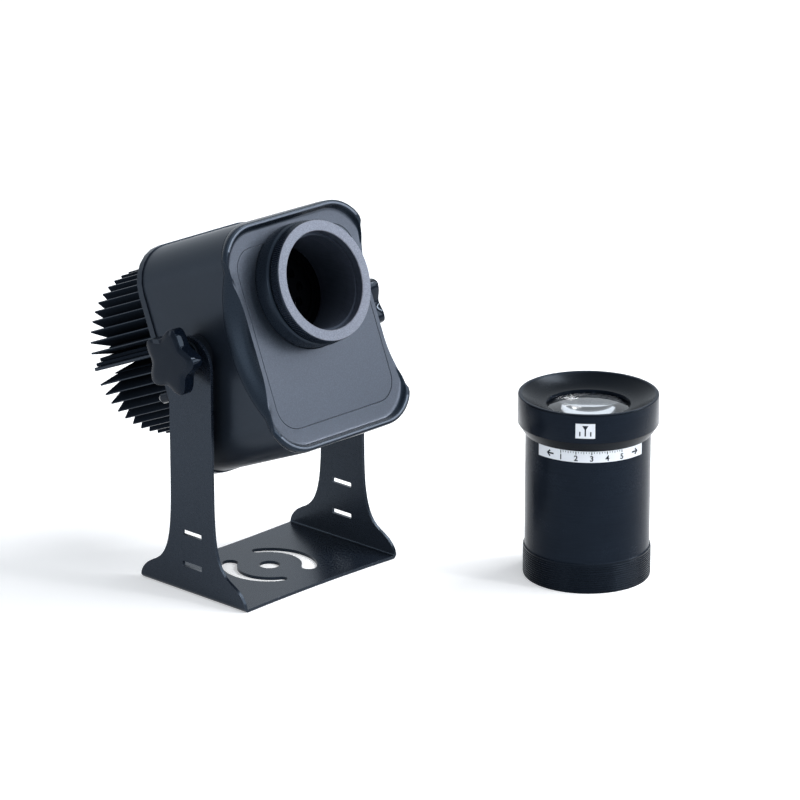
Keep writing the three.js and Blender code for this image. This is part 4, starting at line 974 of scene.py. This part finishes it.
def build_nose(context):
    nose = sizes(context, "nose")
    place = on_head(0, 0, nose.axis)
    ease, root, steps = 0.2 * MM, nose.radius - nose.knurl_depth, 2 * nose.knurls
    back, front, step = nose.knurl_back, nose.front - 0.6 * MM, nose.front - 4.9 * MM
    rear, thread, neck = 50.3 * MM, 33.4 * MM, nose.collar_front + 0.3 * MM
    outline = [(nose.seat, rear), (thread, rear), (thread, neck), (nose.neck, neck), (nose.neck, back),
               (root, back + ease), (root, nose.front - ease), (root - ease, nose.front),
               (nose.bore + 2 * ease, nose.front), (nose.bore, nose.front - 2 * ease), (nose.bore, step),
               (nose.seat, step)]
    # The ring's front takes the light nose tone, a grained coat lightened as a painted highlight
    finish_piece("nose_ring_body", turned(outline, 160), place, "nose_ring", "Bore black",
                 node="nose_ring", crease=30, others=("Nose coat",),
                 where=lambda at, normal: int(at.z > nose.front - 0.3 * MM))

    def ring(radius, at, depth=0.0):
        turns = [2 * math.pi * i / steps for i in range(steps)]
        return [((radius - depth * (i % 2)) * math.cos(turn), (radius - depth * (i % 2)) * math.sin(turn), at)
                for i, turn in enumerate(turns)]
    rings = [ring(root - 3 * ease, back), ring(root, back),
             ring(nose.radius, back + 2 * ease, nose.knurl_depth),
             ring(nose.radius, front - 2 * ease, nose.knurl_depth),
             ring(root, front), ring(root - 3 * ease, front)]
    finish_piece("nose_knurl", skin(rings, closed=True), place, "nose_ring", "Yoke coat",
                 node="nose_ring", crease=20)

    # The liner's thread is a row of fine grooves behind its mouth
    inner, front, pitch = nose.liner - nose.liner_wall, nose.front - 5.2 * MM, nose.thread_pitch
    groove, seat, stop = inner + 0.12 * MM, 24 * MM, 21.7 * MM
    outline = [(seat, nose.liner_back), (nose.liner, nose.liner_back), (nose.liner, front), (inner, front)]
    for i in range(10):
        at = front - 1.2 * MM - i * pitch
        outline += [(inner, at), (groove, at - 0.4 * pitch), (groove, at - 0.5 * pitch),
                    (inner, at - 0.9 * pitch)]
    outline += [(inner, stop), (seat, stop)]
    finish_piece("liner_tube", turned(outline, 160), place, "head", "Bore black",
                 node="nose_liner", crease=20)

    # The whole gobo set takes the nearly black gobo tone, painted shade inside the nose
    for node, slot, bevel in (("gobo_holder", "lens_black", 0.3 * MM), ("gobo_disc", "gobo_steel", 0.1 * MM),
                              ("gobo_clip", "screw_steel", 0.2 * MM)):
        dress_node(node, "Blackened steel", "gobo", bevel)


# ---------------------------------------------------------------- heat sink

def fin(sink, reach, thick, lines, wave):
    """One fin, lined by the die, from inside the core to its tip and over the sink's length."""
    back, root = -sink.front - sink.length, sink.core - 1.5 * MM
    section = []
    for i in range(lines + 1):
        radius = root + (reach - 0.8 * MM - root) * i / lines
        taper = 1.08 - 0.16 * (radius - sink.core) / (sink.radius - sink.core)
        section.append((radius, thick / 2 * taper - (wave if i % 2 else 0.0)))
    section += [(reach - 0.5 * MM, thick * 0.42), (reach - 0.2 * MM, thick * 0.25)]
    bm = prism(section + [(r, -y) for r, y in reversed(section)], back, -sink.front)
    rims = [e for e in bm.edges if all(abs(v.co.z - back) < WELD / 10 for v in e.verts)]
    bmesh.ops.bevel(bm, geom=rims, offset=0.12 * MM, segments=1, profile=0.5, affect="EDGES", material=-1)
    return bm


def build_heat_sink(context):
    sink = sizes(context, "sink")
    shapes = []
    for side in (0, math.pi):
        # A rib of three layers, then long fins with a short one beside each
        for i, short in enumerate((0.0, 2.4 * MM, 6.4 * MM)):
            shapes.append((fin(sink, sink.radius - short, sink.rib / 2, 22, 0.1 * MM),
                           Matrix.Rotation(side, 4, "Z") @ Matrix.Translation((0, -i * sink.rib * 0.48, 0))))
        for i in range(1, sink.fins // 2 - 1):
            turn = (i + 0.5) * 2 * math.pi / sink.fins
            inward = -sink.short_turn if turn < QUARTER else sink.short_turn
            for reach, thick, lines, at in ((sink.radius, sink.thickness, 22, turn),
                                            (sink.short_radius, sink.thickness * 0.8, 10, turn + inward)):
                shapes.append((fin(sink, reach, thick, lines, 0.05 * MM), Matrix.Rotation(side + at, 4, "Z")))
    place = on_head(0, 0, sink.height)
    finish_piece("sink_fins", joined(shapes), place, "head", "Fin black",
                 node="heat_sink", crease=25, others=("Yoke coat",),
                 where=lambda at, normal: int(math.hypot(at.x, at.y) > sink.radius - 0.3 * MM))
    back, edge, foot, face = -sink.front - sink.length, 0.6 * MM, -sink.front - 2 * MM, -30.4 * MM
    # A fine groove rings the middle of the core's rear end
    core = [(0, back), (4.0 * MM, back), (4.4 * MM, back + 2 * edge), (5.2 * MM, back + 2 * edge),
            (5.6 * MM, back), (sink.core - edge, back), (sink.core, back + edge), (sink.core, foot),
            (sink.base - edge, foot), (sink.base, foot + edge), (sink.base, face - edge),
            (sink.base - edge, face), (0, face)]
    finish_piece("sink_core", turned(core, closed=False), place, "head", "Fin black",
                 node="heat_sink", crease=30)


# ---------------------------------------------------------------- light engine, driver and gland

def dome(radius, start, edge, below, above, lines=20):
    """Outline of a lens element: its crowns under and over a straight edge."""
    parts = [i / lines for i in range(lines)]
    outline = [(radius * t, start - below * (1 - t ** 2)) for t in parts] if below else [(0, start)]
    outline += [(radius, start), (radius, start + edge)]
    return outline + [(radius * t, start + edge + above * (1 - t ** 2)) for t in [*reversed(parts[1:]), 0]]


def build_inside(context):
    nose = sizes(context, "nose")
    dress_node("led_board", "White board", "head", 0.1 * MM)
    dress_node("led_emitter", "Phosphor", "head", 0.1 * MM)
    dress_node("condenser_holder", "Bore black", "head")
    # The condenser lies where the CAD solid has its own flat back
    back = min(-(HEAD.inverted() @ v.co).y for v in frame["nodes"]["condenser_lens"].data.vertices)
    glass = turned(dome(24 * MM, 0, 2.5 * MM, 0, 5 * MM, 12), 96, closed=False)
    finish_piece("condenser_glass", glass, on_head(0, back, nose.axis), "head", "Coated glass",
                 node="condenser_lens", crease=40)
    dress_node("driver_board", "Board mask", "head", 0.1 * MM)
    dress_node("driver_module", "Matt black plastic", "head", 0.8 * MM, 3)
    for number in range(1, 5):
        dress_node("driver_standoff_%d" % number, "Zinc plate", "head", 0.2 * MM)
    dress_node("cable_gland", "Knob black", "head", 0.3 * MM, 3, 25)


# ---------------------------------------------------------------- lens barrel

def lens_place():
    low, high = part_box("lens_tube")
    return Matrix.Translation(((low.x + high.x) / 2, (low.y + high.y) / 2, 0))


# Over 1, the hood's funnel is dished: steep under the rim and flatter towards the glass
DISH = 1.55


def build_lens(context):
    lens = sizes(context, "lens")
    place, gap, ease = lens_place(), 0.3 * MM, 0.2 * MM
    tube, bore, sleeve, socket, hood = lens.tube, lens.tube_inner, lens.sleeve, lens.sleeve_inner, lens.hood
    top, cuff = lens.height, lens.sleeve_height
    shoulder, hood_low = top - lens.hood_rim, top - lens.hood_rim - lens.hood_chamfer
    sleeve_top, tube_top, root = cuff - MM, shoulder - gap, sleeve - lens.thread_depth
    pitch = (sleeve_top - MM) / lens.thread_count
    ridges = [(root + lens.thread_depth * (1 - math.cos(2 * math.pi * at)) / 2, 4 * ease + pitch * at)
              for at in [step / 12 for step in range(12 * lens.thread_count)]]
    outline = [(socket, ease), (socket + ease, 0), (root, 0), (root + ease, 2 * ease), *ridges,
               (sleeve - ease, sleeve_top + gap), (sleeve - ease, cuff - ease), (sleeve - 2 * ease, cuff),
               (tube + 2 * ease, cuff), (tube, cuff + 2 * ease), (tube, tube_top - gap),
               (tube - gap, tube_top), (bore, tube_top), (bore, sleeve_top), (socket, sleeve_top)]
    finish_piece("barrel_tube", turned(outline, 192), place, "lens", "Barrel black",
                 node="lens_tube", crease=30, others=("Sleeve black",),
                 where=lambda at, normal: int(at.z < cuff and math.hypot(at.x, at.y) > tube + gap))

    rim, lip, floor = hood - 2.5 * MM, top - 0.5 * MM, top - lens.funnel
    funnel = [(rim - (rim - lens.opening) * part, lip - (lip - floor) * (1 - (1 - part) ** DISH))
              for part in [i / 12 for i in range(13)]]
    seat, ledge, stop = lens.glass + gap, floor - 2 * MM, floor - 5.8 * MM
    outline = [(tube + gap, hood_low + ease), (tube + 2 * gap, hood_low), (hood - ease, shoulder - 2 * ease),
               (hood, shoulder), (hood, top - MM), (hood - 0.1 * MM, top - 2 * ease), (hood - 0.5 * MM, top),
               (hood - 2 * MM, top), *funnel, (lens.opening, ledge), (seat, ledge), (seat, stop),
               (bore - gap, stop), (bore - gap, tube_top + gap), (tube + gap, tube_top + gap)]
    # Faces that slope below the rim, the funnel and the chamfer under the hood, take the darker funnel tone
    # as painted shade
    finish_piece("barrel_hood", turned(outline, 192), place, "lens", "Barrel black",
                 node="lens_hood", crease=30, others=("Funnel black",),
                 where=lambda at, normal: int(at.z < top - 2 * ease and abs(normal.z) > 0.1))

    for name, node, radius, start, bulge in (
            ("front_element", "lens_front_glass", lens.glass, floor - 5.5 * MM, lens.bulge),
            ("rear_element", "lens_rear_glass", bore - 0.6 * MM, sleeve_top + 4.5 * MM, 2.8 * MM)):
        element = turned(dome(radius, start, 2.6 * MM, bulge, bulge), closed=False)
        finish_piece(name, element, place, "lens", "Coated glass", node=node, crease=40)
    for node, finish in (("lens_front_ring", "Barrel black"), ("lens_rear_ring", "Barrel black"),
                         ("lens_baffle", "Bore black")):
        dress_node(node, finish, "lens")


# ---------------------------------------------------------------- labels

# Thickness of the print, and the clearance between two layers
INK = 0.04 * MM


def rectangle(half, low, high):
    return [(-half, low), (half, low), (half, high), (-half, high)]


def flat_patch(outline, thickness=INK, width=1.2 * MM):
    """A thin plate from an outline, cut into narrow upright strips so that it wraps smoothly."""
    bm = prism(outline, 0, thickness)
    left, right = min(x for x, _ in outline), max(x for x, _ in outline)
    at = left + width
    while at < right - 0.2 * width:
        bmesh.ops.bisect_plane(bm, geom=[*bm.verts, *bm.edges, *bm.faces], plane_co=(at, 0, 0),
                               plane_no=(1, 0, 0))
        at += width
    merge(bm)
    return bm


def lettering(text, height):
    """Plain figures as a flat mesh, centred on the origin."""
    curve = bpy.data.curves.new("figures", "FONT")
    curve.body, curve.align_x, curve.size = text, "CENTER", height / 0.7
    curve.extrude, curve.offset, curve.resolution_u = INK / 2, 0.13 * MM, 4
    holder = in_scene("figures", curve)
    bm = read_mesh(evaluated_mesh(holder))
    bpy.data.objects.remove(holder)
    bmesh.ops.translate(bm, verts=bm.verts, vec=(0, -height / 2, 0))
    return bm


def bar(width, height):
    return flat_patch(rectangle(width / 2, -height / 2, height / 2))


def arrow(size, way):
    """A plain arrow: a shaft and an open head."""
    reach, arm, line = size / 2, 0.43 * size, 0.19 * size
    lower = [(-reach, -line / 2), (reach - 1.91 * line, -line / 2),
             (reach - arm - 0.71 * line, -arm + 0.71 * line), (reach - arm, -arm)]
    outline = lower + [(reach, 0)] + [(x, -y) for x, y in reversed(lower)]
    if way < 0:
        outline = [(-x, y) for x, y in reversed(outline)]
    return flat_patch(outline)


def label_piece(name, bm, finish, radius, facing):
    """Wraps a flat shape (x across, y up, z out) round the standing barrel, centred on a direction."""
    for vert in bm.verts:
        turn, out = facing + vert.co.x / radius, radius + vert.co.z
        vert.co = Vector((out * math.sin(turn), -out * math.cos(turn), vert.co.y))
    finish_piece(name, bm, lens_place(), "lens", finish, crease=40)


def printed(marks):
    return joined([(bm, Matrix.Translation((across, up, 0))) for bm, across, up in marks])


def build_labels(context):
    lens, labels = sizes(context, "lens"), sizes(context, "labels")
    thick = labels.thickness
    # Small plate on the hood, with an index mark
    facing, low, high = labels.facing - math.radians(4.6), labels.plate_low, labels.plate_high
    plate, middle = rectangle(labels.plate_width / 2, low, high), (low + high) / 2
    label_piece("hood_plate", flat_patch(plate, thick), "Label stock", lens.hood + INK / 2, facing)
    notch = flat_patch([(-1.9 * MM, 3.6 * MM), (0, 0.6 * MM), (1.9 * MM, 3.6 * MM)])
    marks = [(bar(0.9 * MM, 4.8 * MM), 0, middle - 0.8 * MM), (notch, 0, middle - 0.2 * MM)]
    marks += [(bar(0.8 * MM, 2.8 * MM), across, middle - 1.8 * MM) for across in (-3.3 * MM, 3.3 * MM)]
    label_piece("hood_mark", printed(marks), "Label ink", lens.hood + thick + 0.03 * MM, facing)
    # Focus scale round the tube: arrows at its ends, ticks and plain figures between
    facing, low, high = labels.facing + math.radians(1.2), labels.strip_low, labels.strip_high
    strip, middle = rectangle(labels.strip_span / 2 * lens.tube, low, high), (low + high) / 2
    label_piece("scale_strip", flat_patch(strip, thick), "Label stock", lens.tube + INK / 2, facing)

    def around(degrees):
        return math.radians(degrees) * lens.tube
    first, tick, figure = -28.8, 2.4, 14.4
    marks = [(arrow(5.2 * MM, -1), around(-40), middle), (arrow(5.2 * MM, 1), around(44), middle)]
    for i in range(25):
        tall = 1.8 * MM if i % 6 == 0 else 1.4 * MM if i % 3 == 0 else MM
        wide = 0.34 * MM if i % 6 else 0.55 * MM
        marks.append((bar(wide, tall), around(first + tick * i), low + 6.8 * MM - tall / 2))
    marks += [(lettering(str(i + 1), 3.4 * MM), around(first + figure * i), low + 2.6 * MM) for i in range(5)]
    label_piece("scale_print", printed(marks), "Label ink", lens.tube + thick + 0.05 * MM, facing)


# ---------------------------------------------------------------- stage

# Width of the camera's sensor in millimetres
SENSOR = 36.0


def camera_axes(stage):
    a, e = stage.azimuth, stage.elevation
    right = Vector((math.cos(a), math.sin(a), 0))
    back = Vector((math.sin(a) * math.cos(e), -math.cos(a) * math.cos(e), math.sin(e)))
    return right, back.cross(right), back


def area_light(name, place, target, width, height, power):
    data = bpy.data.lights.new(name, "AREA")
    data.shape, data.size, data.size_y, data.energy = "RECTANGLE", width, height, power
    light = in_scene(name, data)
    light.location = place
    light.rotation_euler = (target - place).to_track_quat("-Z", "Y").to_euler()


def seen_directly(tree):
    """The camera's rays, and whether a ray is seen at once, in a mirror or through glass."""
    rays = tree.nodes.new("ShaderNodeLightPath").outputs
    return rays["Is Camera Ray"], maths(tree, "MAXIMUM", rays["Is Camera Ray"], maths(
        tree, "MAXIMUM", rays["Is Glossy Ray"], rays["Is Transmission Ray"]))


def build_camera(context, stage, foot, right, up, back):
    data = bpy.data.cameras.new("Photo camera")
    data.lens, data.sensor_width = stage.lens, SENSOR
    data.clip_start, data.clip_end = 0.1, 30.0
    camera = in_scene("Photo camera", data)
    place = foot + right * stage.across + up * stage.above + back * stage.away
    camera.matrix_world = Matrix.Translation(place) @ Matrix((right, up, back)).transposed().to_4x4()
    context.scene.camera = camera


def build_floor(stage):
    """A floor lit so that the object's shadow falls on it, and lifted to white for the camera."""
    tree, shader, position = blank_material("Studio floor")
    paper = noise(tree, position, 2.0, 2.0)
    feed(tree, shader, {"Base Color": blend(tree, paper, (0.86, 0.87, 0.89), (0.88, 0.89, 0.905)),
                        "Roughness": 0.9, "Specular IOR Level": 0.0, "Emission Color": (1, 1, 1, 1),
                        "Emission Strength": maths(tree, "MULTIPLY", seen_directly(tree)[1], LIFT)})
    bm = bmesh.new()
    bmesh.ops.create_grid(bm, x_segments=8, y_segments=8, size=stage.floor / 2)
    mesh = as_mesh("Studio floor", bm)
    mesh.materials.append(bpy.data.materials["Studio floor"])
    floor = in_scene("Studio floor", mesh)


def build_world(context):
    """A white studio, dimmer where it only lights than where it is seen or mirrored."""
    world = bpy.data.worlds.new("Studio")
    world.use_nodes = True
    context.scene.world = world
    tree = world.node_tree
    camera, seen = seen_directly(tree)
    feed(tree, tree.nodes["Background"], {"Color": blend(tree, camera, (0.86, 0.93, 1.0), (1, 1, 1)),
                                          "Strength": maths(tree, "MULTIPLY_ADD", seen, 0.62, 0.38)})


def build_stage(context):
    stage = sizes(context, "stage")
    right, up, back = camera_axes(stage)
    foot = FOOT.translation
    build_camera(context, stage, foot, right, up, back)
    build_floor(stage)
    build_world(context)
    # Lamps: place from the object's middle, width, height and power
    middle, rise = foot + Vector((0.06, -0.05, 0.12)), Vector((0, 0, 1))
    for name, place, width, height, power in (
            ("Overhead box", right * 0.75 + back * 0.45 + rise * 1.75, 1.5, 1.3, 12),
            ("Top box", right * 1.05 - back * 0.60 + rise * 1.75, 0.80, 0.65, 22),
            ("Right box", right * 1.7 + back * 0.35 + rise * 0.75, 1.2, 0.9, 18),
            ("Right strip", right * 1.5 + back * 0.7 + rise * 0.85, 0.10, 1.1, 6.5),
            ("Left strip", right * -1.7 + back * 0.1 + rise * 0.5, 0.35, 1.4, 2.5),
            ("Left front strip", Vector((-1.76, -0.16, 0.30)), 0.34, 1.3, 7),
            ("Edge strip", Vector((1.25, -0.75, 1.05)), 0.05, 0.7, 5)):
        area_light(name, middle + place, middle, width, height, power)


# ---------------------------------------------------------------- operators and panel

class Building:
    """What every operator here shares: it checks the CAD solids it stands for, then builds."""
    bl_options = {"REGISTER", "UNDO"}
    needs = ()
    build = None

    def execute(self, context):
        missing = [node for node in self.needs if node not in frame["nodes"]]
        if missing:
            raise RuntimeError("No CAD solid called " + ", ".join(missing))
        type(self).build(context)
        return {"FINISHED"}


class PROJECTOR_OT_yoke(Building, bpy.types.Operator):
    """Dress the yoke with its spacers, washers, studs and inserts"""
    bl_idname, bl_label = "projector.yoke", "Yoke"
    needs = ("yoke", "spacer_left", "washer_left", "stud_left", "pivot_insert_left")
    build = build_yoke


class PROJECTOR_OT_knobs(Building, bpy.types.Operator):
    """Build the two five-lobed tilt knobs"""
    bl_idname, bl_label = "projector.knobs", "Knobs"
    needs = ("knob_left", "knob_right")
    build = build_knobs


class PROJECTOR_OT_housing(Building, bpy.types.Operator):
    """Build the housing shell, and dress its seal, rear plate and screws"""
    bl_idname, bl_label = "projector.housing", "Housing"
    needs = ("housing_shell", "rear_seal", "rear_plate", "rear_screw_1")
    build = build_housing


class PROJECTOR_OT_bezel(Building, bpy.types.Operator):
    """Build the scooped front bezel, its flush cover plate and its collar"""
    bl_idname, bl_label = "projector.bezel", "Bezel"
    needs = ("front_bezel", "cover_plate")
    build = build_bezel


class PROJECTOR_OT_nose(Building, bpy.types.Operator):
    """Build the knurled nose ring, the threaded liner and the gobo set"""
    bl_idname, bl_label = "projector.nose", "Nose and gobo"
    needs = ("nose_ring", "nose_liner", "gobo_holder", "gobo_disc", "gobo_clip")
    build = build_nose


class PROJECTOR_OT_heat_sink(Building, bpy.types.Operator):
    """Build the round heat sink with its radial fins"""
    bl_idname, bl_label = "projector.heat_sink", "Heat sink"
    needs = ("heat_sink",)
    build = build_heat_sink


class PROJECTOR_OT_inside(Building, bpy.types.Operator):
    """Dress the light engine, the driver and the cable gland"""
    bl_idname, bl_label = "projector.inside", "Light engine, driver and gland"
    needs = ("led_board", "led_emitter", "condenser_lens", "driver_board", "cable_gland")
    build = build_inside


class PROJECTOR_OT_lens(Building, bpy.types.Operator):
    """Build the lens barrel with its hood, thread and glass"""
    bl_idname, bl_label = "projector.lens", "Lens barrel"
    needs = ("lens_tube", "lens_hood", "lens_front_glass", "lens_rear_glass")
    build = build_lens


class PROJECTOR_OT_labels(Building, bpy.types.Operator):
    """Put the plain index plate and focus scale on the barrel"""
    bl_idname, bl_label = "projector.labels", "Labels"
    needs = ("lens_tube", "lens_hood")
    build = build_labels


class PROJECTOR_OT_stage(Building, bpy.types.Operator):
    """Lay the white floor and set the lights and the camera"""
    bl_idname, bl_label = "projector.stage", "Stage"
    build = build_stage


STEPS = (PROJECTOR_OT_yoke, PROJECTOR_OT_knobs, PROJECTOR_OT_housing, PROJECTOR_OT_bezel,
         PROJECTOR_OT_nose, PROJECTOR_OT_heat_sink, PROJECTOR_OT_inside, PROJECTOR_OT_lens,
         PROJECTOR_OT_labels, PROJECTOR_OT_stage)


class PROJECTOR_PT_pieces(bpy.types.Panel):
    """Lists the projector's pieces in the 3D view's sidebar"""
    bl_label = "Gobo projector"
    bl_space_type, bl_region_type, bl_category = "VIEW_3D", "UI", "Projector"

    def draw(self, context):
        for step in STEPS:
            self.layout.operator(step.bl_idname)


CLASSES = (*GROUPS.values(), *STEPS, PROJECTOR_PT_pieces)


def register():
    for item in CLASSES:
        bpy.utils.register_class(item)
    for name, group in GROUPS.items():
        setattr(bpy.types.Scene, "projector_" + name, PointerProperty(type=group))


def unregister():
    for name in GROUPS:
        delattr(bpy.types.Scene, "projector_" + name)
    for item in reversed(CLASSES):
        bpy.utils.unregister_class(item)


def main():
    register()
    make_finishes(sizes(bpy.context, "finishes"))
    for step in STEPS:
        group, name = step.bl_idname.split(".")
        getattr(getattr(bpy.ops, group), name)()
    bpy.context.scene.view_settings.view_transform = "Standard"


if __name__ == "__main__":
    main()
